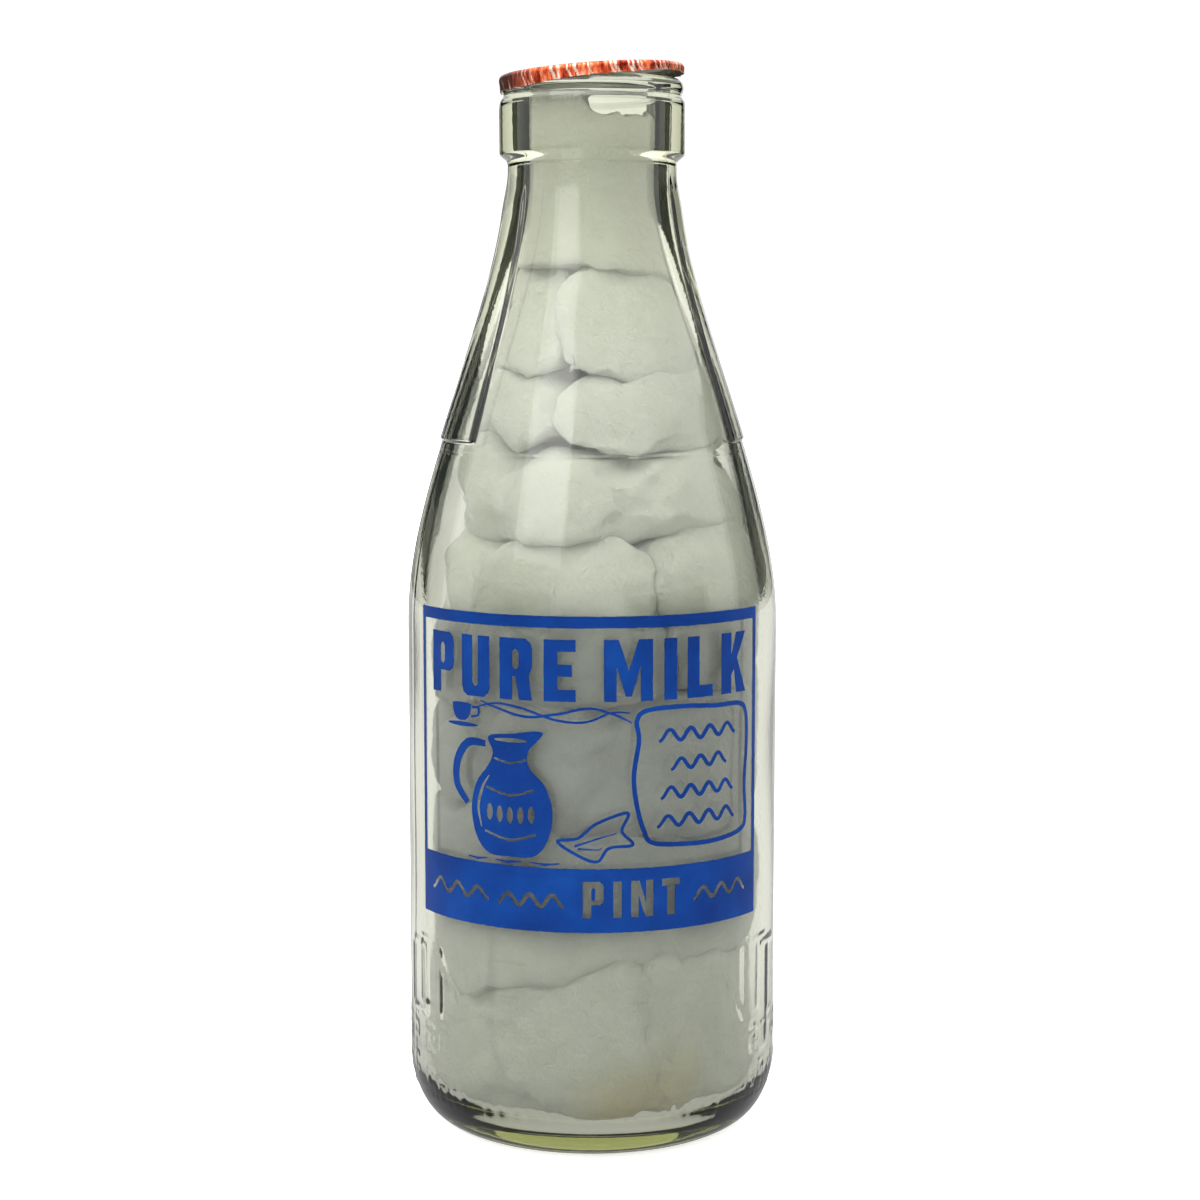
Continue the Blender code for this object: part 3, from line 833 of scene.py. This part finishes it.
art += band_path(spline([(-21.2, 85.6), (-25.6, 85.4), (-28.6, 81.6), (-28.8, 76.8), (-25.8, 73.2)], 40), 1.7, lambda t: 0.75 + 0.35 * math.sin(math.pi * t))
art += [ellipse(-27.2, 89.0, 4.2, 0.45, 30)]
cup = spline([(-30.0, 93.2), (-29.7, 91.4), (-28.6, 89.9), (-26.2, 89.9), (-25.1, 91.4), (-24.8, 93.2)], 30) + [(-25.6, 93.35), (-27.4, 93.45), (-29.2, 93.35)]
art.append(cup)
art += band_path(spline([(-24.5, 92.7), (-23.0, 92.6), (-23.0, 91.2), (-24.8, 90.7)], 16), 0.45)
cloth = [(-5.6, 67.0), (-1.6, 67.6), (2.2, 70.6), (8.4, 72.6), (7.2, 69.0), (9.4, 66.2), (4.6, 65.6), (2.2, 62.9), (-2.4, 64.6)]
art += band_path(spline(cloth, 80, closed=True), 0.62, closed=True)
art += band_path(spline([(-2.2, 66.0), (2.6, 67.6), (6.2, 68.6)], 20), 0.5, lambda t: 1.0 - 0.7 * t)
art += band_path(spline([(-1.6, 65.5), (2.2, 65.3), (3.2, 65.7)], 16), 0.4, lambda t: 1.0 - 0.7 * t)
for x0, x1 in ((-25.6, -20.9), (-19.0, -13.0), (-11.2, -5.2)):
    art += band_path([(x0, 62.35), (0.5 * (x0 + x1), 62.1), (x1, 62.4)], 0.5, lambda t: 0.4 + 0.6 * math.sin(math.pi * t))
art += band_path(spline([(-22.4, 94.2), (-18.0, 92.9), (-12.0, 91.6), (-5.5, 92.4), (0.5, 93.6), (5.5, 92.4), (9.2, 90.6)], 70), 0.55, lambda t: 0.4 + 0.6 * math.sin(math.pi * t) ** 0.5)
picture_piece = wrapped("enamel_picture", flat_curve("picture", art), grid=1.2)
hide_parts("label_picture")
ribbon = band_path(spline([(-24.4, 92.4), (-19.0, 93.9), (-13.0, 93.3), (-6.0, 91.2), (0.0, 90.9), (5.0, 92.7), (8.8, 92.6)], 70), 0.5, lambda t: 0.35 + 0.65 * math.sin(math.pi * t) ** 0.5)
wrapped("enamel_ribbon", flat_curve("ribbon", ribbon), radius=ENAMEL_R + 0.006)

# A rounded panel of pen strokes
panel = spline([(12.4, 93.0), (20.0, 93.4), (28.0, 92.9), (35.0, 92.6), (37.3, 90.4), (37.6, 84.0), (36.9, 76.0), (37.3, 69.2), (35.6, 66.6), (28.0, 65.5), (20.0, 65.6), (13.4, 66.4), (11.6, 69.0), (10.2, 74.0), (9.6, 80.0), (10.6, 87.0), (10.2, 91.0)], 170, closed=True)
panel_loops = band_path(panel, 0.95, closed=True)
for x0, x1, y, humps, heights in (
    (14.8, 33.6, 86.6, 4, (2.3, 2.1)),
    (17.4, 31.0, 80.8, 3, (2.1, 2.2)),
    (15.2, 33.0, 75.1, 4, (2.2, 2.1)),
    (14.4, 33.4, 69.4, 4, (2.1, 2.3)),
):
    panel_loops += pen_line(x0, x1, y, humps, heights, 0.4, 0.85)
panel_piece = wrapped("enamel_panel", flat_curve("panel", panel_loops), grid=1.2)
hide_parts("label_panel")

# --------------------------------------------------------------------------- the wadding: each CAD lump swelled into soft cotton, pressed flat where it meets the glass


def wadding_material():
    mat, nt, shader = nodes_of("white_wadding")
    co = node(nt, "ShaderNodeTexCoord")
    link = nt.links.new
    # Slow clouding from thick to thin cotton
    cloud = node(nt, "ShaderNodeTexNoise", Scale=55.0, Detail=4.0, Roughness=0.55)
    link(co.outputs["Object"], cloud.inputs["Vector"])
    clean = ramp(nt, [(0.32, WAD_DARK), (0.62, WAD_LIGHT)], cloud.outputs["Fac"])
    # Painted shade: the wadding behind the label is darkened and tinted blue-grey, as if in the label's shadow with
    # light bounced off its blue enamel
    sep = node(nt, "ShaderNodeSeparateXYZ")
    link(co.outputs["Object"], sep.inputs["Vector"])
    edge = node(nt, "ShaderNodeTexNoise", Scale=90.0, Detail=3.0)
    link(co.outputs["Object"], edge.inputs["Vector"])
    jitter = node(nt, "ShaderNodeMath", operation="MULTIPLY_ADD")
    jitter.inputs[1].default_value = 0.012
    link(edge.outputs["Fac"], jitter.inputs[0])
    link(sep.outputs["Z"], jitter.inputs[2])
    grey = node(nt, "ShaderNodeMapRange", interpolation_type="SMOOTHSTEP")
    for key, value in (("From Min", 0.110), ("From Max", 0.122), ("To Min", 1.0), ("To Max", 0.0)):
        grey.inputs[key].default_value = value
    link(jitter.outputs["Value"], grey.inputs["Value"])
    grey_low = node(nt, "ShaderNodeMapRange", interpolation_type="SMOOTHSTEP")
    for key, value in (("From Min", 0.046), ("From Max", 0.060), ("To Min", 0.28), ("To Max", 1.0)):
        grey_low.inputs[key].default_value = value
    link(jitter.outputs["Value"], grey_low.inputs["Value"])
    both = node(nt, "ShaderNodeMath", operation="MULTIPLY")
    link(grey.outputs["Result"], both.inputs[0])
    link(grey_low.outputs["Result"], both.inputs[1])
    # The painted shade falls only behind the label
    front = node(nt, "ShaderNodeMapRange", interpolation_type="SMOOTHSTEP")
    for key, value in (("From Min", -0.014), ("From Max", 0.010), ("To Min", 1.0), ("To Max", 0.12)):
        front.inputs[key].default_value = value
    link(sep.outputs["Y"], front.inputs["Value"])
    behind = node(nt, "ShaderNodeMath", operation="MULTIPLY")
    link(both.outputs["Value"], behind.inputs[0])
    link(front.outputs["Result"], behind.inputs[1])
    label_shade_mix = node(nt, "ShaderNodeMix", data_type="RGBA", blend_type="MULTIPLY")
    link(behind.outputs["Value"], label_shade_mix.inputs["Factor"])
    link(clean.outputs["Color"], label_shade_mix.inputs["A"])
    label_shade_mix.inputs["B"].default_value = (*WAD_LABEL_SHADE, 1)
    # A brown tide mark low on the right, where it has been wet
    at = node(nt, "ShaderNodeVectorMath", operation="DISTANCE")
    at.inputs[1].default_value = (0.022, -0.030, 0.013)
    warp = node(nt, "ShaderNodeTexNoise", Scale=60.0, Detail=4.0)
    link(co.outputs["Object"], warp.inputs["Vector"])
    bend = node(nt, "ShaderNodeVectorMath", operation="MULTIPLY_ADD")
    bend.inputs[1].default_value = (0.016, 0.016, 0.016)
    link(warp.outputs["Color"], bend.inputs[0])
    link(co.outputs["Object"], bend.inputs[2])
    link(bend.outputs["Vector"], at.inputs[0])
    tide = node(nt, "ShaderNodeMapRange", interpolation_type="SMOOTHSTEP")
    for key, value in (("From Min", 0.006), ("From Max", 0.026), ("To Min", 1.0), ("To Max", 0.0)):
        tide.inputs[key].default_value = value
    link(at.outputs["Value"], tide.inputs["Value"])
    stained = node(nt, "ShaderNodeMix", data_type="RGBA", blend_type="MULTIPLY")
    link(tide.outputs["Result"], stained.inputs["Factor"])
    link(label_shade_mix.outputs["Result"], stained.inputs["A"])
    stained.inputs["B"].default_value = (0.84, 0.73, 0.50, 1)
    # Matted fibres
    fibre = node(nt, "ShaderNodeTexNoise", Scale=700.0, Detail=8.0, Roughness=0.75, Distortion=1.6)
    link(co.outputs["Object"], fibre.inputs["Vector"])
    tint = ramp(nt, [(0.3, (0.93, 0.93, 0.92)), (0.6, (1.0, 1.0, 1.0))], fibre.outputs["Fac"])
    out = node(nt, "ShaderNodeMix", data_type="RGBA", blend_type="MULTIPLY")
    out.inputs["Factor"].default_value = 1.0
    link(stained.outputs["Result"], out.inputs["A"])
    link(tint.outputs["Color"], out.inputs["B"])
    link(out.outputs["Result"], shader.inputs["Base Color"])
    tuft = node(nt, "ShaderNodeTexNoise", Scale=230.0, Detail=6.0, Roughness=0.65, Distortion=0.8)
    link(co.outputs["Object"], tuft.inputs["Vector"])
    b1 = node(nt, "ShaderNodeBump", Strength=0.6, Distance=0.0030)
    link(tuft.outputs["Fac"], b1.inputs["Height"])
    b2 = node(nt, "ShaderNodeBump", Strength=0.6, Distance=0.0012)
    link(fibre.outputs["Fac"], b2.inputs["Height"])
    link(b1.outputs["Normal"], b2.inputs["Normal"])
    link(b2.outputs["Normal"], shader.inputs["Normal"])
    shader.inputs["Roughness"].default_value = 0.95
    shader.inputs["Specular IOR Level"].default_value = 0.1
    shader.inputs["Sheen Weight"].default_value = 0.35
    shader.inputs["Sheen Roughness"].default_value = 0.5
    shader.inputs["Subsurface Weight"].default_value = 0.35
    shader.inputs["Subsurface Radius"].default_value = (1.0, 1.0, 0.9)
    shader.inputs["Subsurface Scale"].default_value = 0.006
    return mat


# Where the wadding stands back from the glass: azimuth and height of the middle, half sizes, depth
HOLLOWS = [
    (-84.0, 127.0, 26.0, 13.0, 6.5),
    (-80.0, 114.0, 22.0, 9.0, 4.5),
    (-86.0, 172.0, 20.0, 4.5, 4.5),
    (-86.0, 152.0, 22.0, 8.0, 4.0),
    (86.0, 139.5, 20.0, 3.5, 4.0),
    (95.0, 176.0, 14.0, 2.0, 2.5),
    (150.0, 128.0, 24.0, 7.0, 4.0),
    (205.0, 88.0, 20.0, 8.0, 3.5),
]
WAD = wadding_material()
GROW = 1.125


def fbm(p, scale, octaves, seed):
    v, a, q = 0.0, 1.0, Vector(p) * scale + Vector((seed * 7.13, seed * 3.7, seed * 1.9))
    for _ in range(octaves):
        v += a * noise.noise(q)
        q = q * 2.03
        a *= 0.5
    return v


def swell(obj, seed):
    """Blows the lump up under cloth pressure, with its creases held in."""
    mesh = obj.data
    group = obj.vertex_groups.new(name="held")
    for v in mesh.vertices:
        n = fbm(v.co * 1000.0, 0.085, 2, seed)
        w = max(0.0, 1.0 - abs(n) / 0.10)
        if w > 0.0:
            group.add([v.index], min(1.0, w), "REPLACE")
    mod = obj.modifiers.new("cloth", "CLOTH")
    st = mod.settings
    st.quality = 5
    st.mass = 0.15
    st.tension_stiffness = 6.0
    st.compression_stiffness = 6.0
    st.shear_stiffness = 3.0
    st.bending_stiffness = 0.3
    st.use_pressure = True
    st.uniform_pressure_force = 4.0
    st.shrink_min = -0.08
    st.vertex_group_mass = "held"
    st.pin_stiffness = 0.8
    st.effector_weights.gravity = 0.0
    mod.point_cache.frame_start = 1
    mod.point_cache.frame_end = 16
    for f in range(1, 17):
        scene.frame_set(f)
    dg = bpy.context.evaluated_depsgraph_get()
    done = obj.evaluated_get(dg).to_mesh()
    co = np.empty(len(mesh.vertices) * 3)
    done.vertices.foreach_get("co", co)
    obj.evaluated_get(dg).to_mesh_clear()
    obj.modifiers.remove(mod)
    obj.vertex_groups.clear()
    scene.frame_set(1)
    return co.reshape(-1, 3)


def wadding(name, seed):
    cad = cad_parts[name]
    obj = bpy.data.objects.new("cotton_" + name[-2:], cad.data.copy())
    scene.collection.objects.link(obj)
    obj.data.materials.clear()
    rm = obj.modifiers.new("remesh", "REMESH")
    rm.mode = "VOXEL"
    rm.voxel_size = 1.15 * MM
    bpy.context.view_layer.update()
    dg = bpy.context.evaluated_depsgraph_get()
    mesh = bpy.data.meshes.new_from_object(obj.evaluated_get(dg), depsgraph=dg)
    old = obj.data
    obj.modifiers.clear()
    obj.data = mesh
    bpy.data.meshes.remove(old)
    n = len(mesh.vertices)
    co = np.empty(n * 3)
    mesh.vertices.foreach_get("co", co)
    co = co.reshape(-1, 3)
    edges = np.empty(len(mesh.edges) * 2, int)
    mesh.edges.foreach_get("vertices", edges)
    edges = edges.reshape(-1, 2)
    degree = np.bincount(edges.ravel(), minlength=n).astype(float)[:, None]
    lo, hi = co.min(0), co.max(0)

    def even(p, times, keep=0.5):
        for _ in range(times):
            total = np.zeros_like(p)
            np.add.at(total, edges[:, 0], p[edges[:, 1]])
            np.add.at(total, edges[:, 1], p[edges[:, 0]])
            p = p * (1 - keep) + total / degree * keep
        return p

    co = even(co, 190 if not name.endswith("20") else 40)
    # Back to the size it had, and a little over, so that neighbours press together
    centre = 0.5 * (lo + hi)
    lo2, hi2 = co.min(0), co.max(0)
    centre_z = float(np.ravel(centre)[-1])
    co = (co - 0.5 * (lo2 + hi2)) * ((hi - lo) / (hi2 - lo2)) * (1.16 if name.endswith("20") else GROW if centre_z > 0.048 else 1.24) + centre
    if not name.endswith("20"):
        mesh.vertices.foreach_set("co", co.ravel())
        mesh.update()
        moved = swell(obj, seed) - co
        length = np.linalg.norm(moved, axis=1, keepdims=True) + 1e-12
        co = co + moved * np.minimum(1.0, 2.2 * MM / length)
        co = even(co, 5)
    mesh.vertices.foreach_set("co", co.ravel())
    mesh.update()
    normals = np.empty(n * 3)
    mesh.vertices.foreach_get("normal", normals)
    normals = normals.reshape(-1, 3)
    lumps = np.empty(n)
    for i in range(n):
        p = co[i] * 1000.0
        lumps[i] = 2.6 * fbm(p, 0.065, 3, seed) - 0.45 * (1.0 - min(1.0, abs(fbm(p, 0.10, 2, seed + 3)) / 0.3)) + 0.16 * fbm(p, 0.6, 2, seed + 5)
    co = co + normals * lumps[:, None] * MM
    # All the lumps lean and slide together, so no two meet in a straight line
    if not name.endswith("20"):
        low_end, high_end = smooth((co[:, 2] / MM - 8.0) / 14.0), smooth((181.0 - co[:, 2] / MM) / 14.0)
        for i in range(n):
            q = Vector(co[i] * 1000.0) * 0.034
            w = noise.noise_vector(q + Vector((4.3, 9.1, 2.2)))
            w2 = noise.noise_vector(q * 2.3 + Vector((1.3, 5.1, 8.2)))
            co[i] += (np.array(w) * 5.2 + np.array(w2) * 2.0) * MM * float(low_end[i] * high_end[i])
    # Pressed against the inside of the glass, and standing back from it in places
    az = np.arctan2(co[:, 0], -co[:, 1])
    z = co[:, 2] / MM
    room = cavity_r(z) - 0.12
    for at, mid, half_az, half_z, depth in HOLLOWS:
        d = (np.mod(az - math.radians(at) + math.pi, 2 * math.pi) - math.pi) / math.radians(half_az)
        e = (z - mid) / half_z
        room = room - depth * smooth(1.35 - np.hypot(d, e) + 0.16 * np.sin(7.0 * az + 0.31 * z) + 0.10 * np.sin(0.83 * z + 2.0 * az))
    r = np.hypot(co[:, 0], co[:, 1]) / MM
    soft = 0.8 if name.endswith("20") else 2.2
    if not name.endswith("20"):
        # Only the crown of a lump touches the glass; its rim falls away into the crease
        reach = float(np.percentile(r - room, 99.0)) - 3.3
        r_was = r
        r = r - max(reach, 0.0) * smooth((r - 3.0) / 8.0)
        # The cotton was pushed out to the sides hardest
        r = r + 0.6 * smooth((np.abs(np.sin(az)) - 0.66) / 0.24) * np.clip(room - r, 0.0, 6.0) * smooth((r - room + 11.0) / 6.0)
        co[:, :2] *= (r / np.maximum(r_was, 1e-6))[:, None]
    over = r - (room - soft)
    pressed = np.where(over > 0, room - soft * np.exp(-np.clip(over, 0, 50) / soft), r)
    co[:, :2] *= (pressed / np.maximum(r, 1e-6))[:, None]
    # The floor of the bottle and the mouth hold it too
    co[:, 2] = np.maximum(co[:, 2], (FLOOR_Z + 1.6) * MM)
    if name.endswith("20"):
        x, y = co[:, 0] / MM, co[:, 1] / MM
        top = 215.3 - 4.6 * smooth((x + 1.2) / 1.2) * smooth((12.6 - x) / 2.0) + 0.35 * np.sin(1.6 * x + 0.5 * y) + 0.25 * np.sin(3.1 * x - 1.5 * y)
        co[:, 2] = np.minimum(co[:, 2], top * MM)
    mesh.vertices.foreach_set("co", co.ravel())
    mesh.polygons.foreach_set("use_smooth", [True] * len(mesh.polygons))
    mesh.update()
    mesh.materials.clear()
    mesh.materials.append(WAD)
    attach(obj, "bottle")
    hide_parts(name)
    return obj


for k in range(1, 21):
    wadding(f"wadding_{k:02d}", k)

# --------------------------------------------------------------------------- the foil cap: a crinkled skin with a pleated skirt, sitting askew


def foil_material():
    mat, nt, shader = nodes_of("red_foil")
    link = nt.links.new
    co = node(nt, "ShaderNodeTexCoord")
    crease = node(nt, "ShaderNodeAttribute", attribute_name="crease")
    scratch = node(nt, "ShaderNodeTexNoise", Scale=1100.0, Detail=6.0, Roughness=0.7)
    squeeze = node(nt, "ShaderNodeMapping")
    squeeze.inputs["Scale"].default_value = (1.0, 1.0, 0.3)
    link(co.outputs["Object"], squeeze.inputs["Vector"])
    link(squeeze.outputs["Vector"], scratch.inputs["Vector"])
    worn = node(nt, "ShaderNodeMath", operation="MULTIPLY_ADD")
    worn.inputs[1].default_value = 0.85
    link(scratch.outputs["Fac"], worn.inputs[0])
    link(crease.outputs["Fac"], worn.inputs[2])
    lacquer_noise = node(nt, "ShaderNodeTexNoise", Scale=760.0, Detail=5.0, Roughness=0.65)
    link(squeeze.outputs["Vector"], lacquer_noise.inputs["Vector"])
    lacquer = ramp(nt, [(0.38, (0.13, 0.010, 0.005)), (0.48, (0.52, 0.055, 0.018)), (0.56, (0.80, 0.15, 0.05)), (0.66, (0.92, 0.42, 0.26))], lacquer_noise.outputs["Fac"])
    # The foil is darker on its low left side, towards -X
    sep = node(nt, "ShaderNodeSeparateXYZ")
    link(co.outputs["Object"], sep.inputs["Vector"])
    low = node(nt, "ShaderNodeMapRange", interpolation_type="SMOOTHSTEP")
    for key, value in (("From Min", -0.0185), ("From Max", -0.0085), ("To Min", 0.88), ("To Max", 0.0)):
        low.inputs[key].default_value = value
    link(sep.outputs["X"], low.inputs["Value"])
    left_darkened = node(nt, "ShaderNodeMix", data_type="RGBA")
    link(low.outputs["Result"], left_darkened.inputs["Factor"])
    link(lacquer.outputs["Color"], left_darkened.inputs["A"])
    left_darkened.inputs["B"].default_value = (0.075, 0.035, 0.03, 1)
    bare = ramp(nt, [(0.66, (0, 0, 0)), (0.90, (1, 1, 1))], worn.outputs["Value"])
    mix = node(nt, "ShaderNodeMix", data_type="RGBA")
    link(bare.outputs["Color"], mix.inputs["Factor"])
    link(left_darkened.outputs["Result"], mix.inputs["A"])
    mix.inputs["B"].default_value = (0.84, 0.68, 0.56, 1)
    link(mix.outputs["Result"], shader.inputs["Base Color"])
    shader.inputs["Metallic"].default_value = 0.9
    rough = node(nt, "ShaderNodeMapRange")
    rough.inputs["To Min"].default_value = 0.24
    rough.inputs["To Max"].default_value = 0.5
    link(scratch.outputs["Fac"], rough.inputs["Value"])
    link(rough.outputs["Result"], shader.inputs["Roughness"])
    bump = node(nt, "ShaderNodeBump", Strength=0.5, Distance=0.0003)
    link(scratch.outputs["Fac"], bump.inputs["Height"])
    link(bump.outputs["Normal"], shader.inputs["Normal"])
    return mat


CAP_R, CAP_T, CAP_TILT = 19.3, 0.3, math.radians(4.0)
CAP_SKIRT_HIGH, CAP_SKIRT_LOW, CAP_SHIFT, CAP_EDGE, CAP_CLEAR = 1.7, 3.1, -0.2, 0.92, 0.12


def foil_cap():
    rng = np.random.RandomState(12)
    seg = 432
    az = np.linspace(0, 2 * math.pi, seg, endpoint=False)
    # Pleats: uneven sharp folds all round
    pleat = np.zeros(seg)
    for n_, amp in ((37, 0.45), (61, 0.5), (93, 0.35), (23, 0.4), (11, 0.35)):
        pleat += amp * (1.0 - 2.0 * np.abs(np.sin(0.5 * n_ * az + rng.uniform(0, 6.28) + 0.6 * np.sin(3 * az + rng.uniform(0, 6)))))
    pleat /= 1.6
    ridge = np.clip(np.abs(pleat) ** 0.7 * np.sign(pleat), -1, 1)
    streak = rng.uniform(0, 1, seg) ** 2.2
    streak = 0.8 * streak + 0.2 * np.roll(streak, 1)
    depth = CAP_SKIRT_HIGH + (CAP_SKIRT_LOW - CAP_SKIRT_HIGH) * smooth(0.5 - 0.5 * np.cos(az))
    depth = depth + 0.16 * ridge + 0.12 * np.sin(5 * az + 1.0)
    rows = []
    crease = []
    top_z = CAP_T

    def dimples(x, y):
        v = np.zeros_like(x)
        for i in range(x.size):
            p = Vector((x[i], y[i], 0.0))
            a_ = noise.noise(p * 0.33 + Vector((3.1, 8.2, 0.5)))
            b_ = noise.noise(p * 0.8 + Vector((1.1, 2.2, 7.5)))
            v[i] = -0.32 * abs(a_) - 0.16 * abs(b_)
        return v

    for k in range(30):
        r = (CAP_R - CAP_EDGE) * (k + 1) / 30
        x, y = r * np.cos(az), r * np.sin(az)
        edge = smooth((r - 11.0) / 7.0)
        z = top_z + dimples(x, y) * (0.5 + 0.5 * smooth(r / 6.0)) * (1 - 0.5 * edge) + 0.10 * ridge * edge
        rows.append((x, y, np.minimum(z, top_z)))
        crease.append(0.25 * edge * np.clip(ridge, 0, 1))
    for k in range(1, 7):
        a = 0.5 * math.pi * k / 6
        r = CAP_R - CAP_EDGE + CAP_EDGE * math.sin(a) + 0.0 * az
        z = top_z - CAP_EDGE * (1 - math.cos(a))
        rr = r - 0.10 * (1 - ridge) * math.sin(a)
        rows.append((rr * np.cos(az), rr * np.sin(az), np.full(seg, z)))
        crease.append(0.3 * np.clip(ridge, 0, 1) + 0.5 * streak)
    for k in range(1, 15):
        t = k / 14
        z = top_z - CAP_EDGE + (-depth - (top_z - CAP_EDGE)) * t
        r = CAP_R - (0.10 + 0.12 * t) * (1 - ridge) - 0.05 * math.sin(math.pi * t)
        rows.append((r * np.cos(az + 0.004 * t * ridge), r * np.sin(az), z))
        crease.append(0.3 * np.clip(ridge, 0, 1) + 0.5 * np.roll(streak, k // 4) + 0.06 * (k > 12))
    verts = [(0.0, 0.0, top_z - 0.1)]
    values = [0.0]
    for (x, y, z), c in zip(rows, crease):
        verts += list(zip(x, y, z))
        values += list(c + np.zeros(seg))
    faces = [(0, 1 + j, 1 + (j + 1) % seg) for j in range(seg)]
    for i in range(len(rows) - 1):
        a, b = 1 + i * seg, 1 + (i + 1) * seg
        for j in range(seg):
            k = (j + 1) % seg
            faces.append((a + j, b + j, b + k, a + k))
    obj = new_piece("foil_skin", np.array(verts) * MM, faces, foil_material(), "cap")
    inner_mat, nt, shader = nodes_of("red_foil_inside")
    shader.inputs["Metallic"].default_value = 1.0
    co = node(nt, "ShaderNodeTexCoord")
    dent = node(nt, "ShaderNodeTexNoise", Scale=260.0, Detail=5.0)
    nt.links.new(co.outputs["Object"], dent.inputs["Vector"])
    tone = ramp(nt, [(0.3, (0.30, 0.30, 0.26)), (0.7, (0.55, 0.55, 0.50))], dent.outputs["Fac"])
    nt.links.new(tone.outputs["Color"], shader.inputs["Base Color"])
    shader.inputs["Roughness"].default_value = 0.42
    bump = node(nt, "ShaderNodeBump", Strength=0.5, Distance=0.0003)
    nt.links.new(dent.outputs["Fac"], bump.inputs["Height"])
    nt.links.new(bump.outputs["Normal"], shader.inputs["Normal"])
    obj.data.materials.append(inner_mat)
    attr = obj.data.attributes.new("crease", "FLOAT", "POINT")
    attr.data.foreach_set("value", np.array(values, dtype=np.float32))
    so = obj.modifiers.new("thickness", "SOLIDIFY")
    so.thickness = 0.09 * MM
    so.offset = -1.0
    so.material_offset = 1
    so.material_offset_rim = 1
    so.use_even_offset = False
    bpy.context.view_layer.update()
    dg = bpy.context.evaluated_depsgraph_get()
    thick = bpy.data.meshes.new_from_object(obj.evaluated_get(dg), depsgraph=dg)
    obj.modifiers.clear()
    old = obj.data
    obj.data = thick
    bpy.data.meshes.remove(old)
    turn = Matrix.Translation(Vector((CAP_SHIFT, 0, HEIGHT + CAP_CLEAR + CAP_R * math.sin(CAP_TILT))) * MM) @ Matrix.Rotation(-CAP_TILT, 4, "Y")
    obj.data.transform(turn)
    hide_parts("foil_cap")
    return obj


foil_cap()
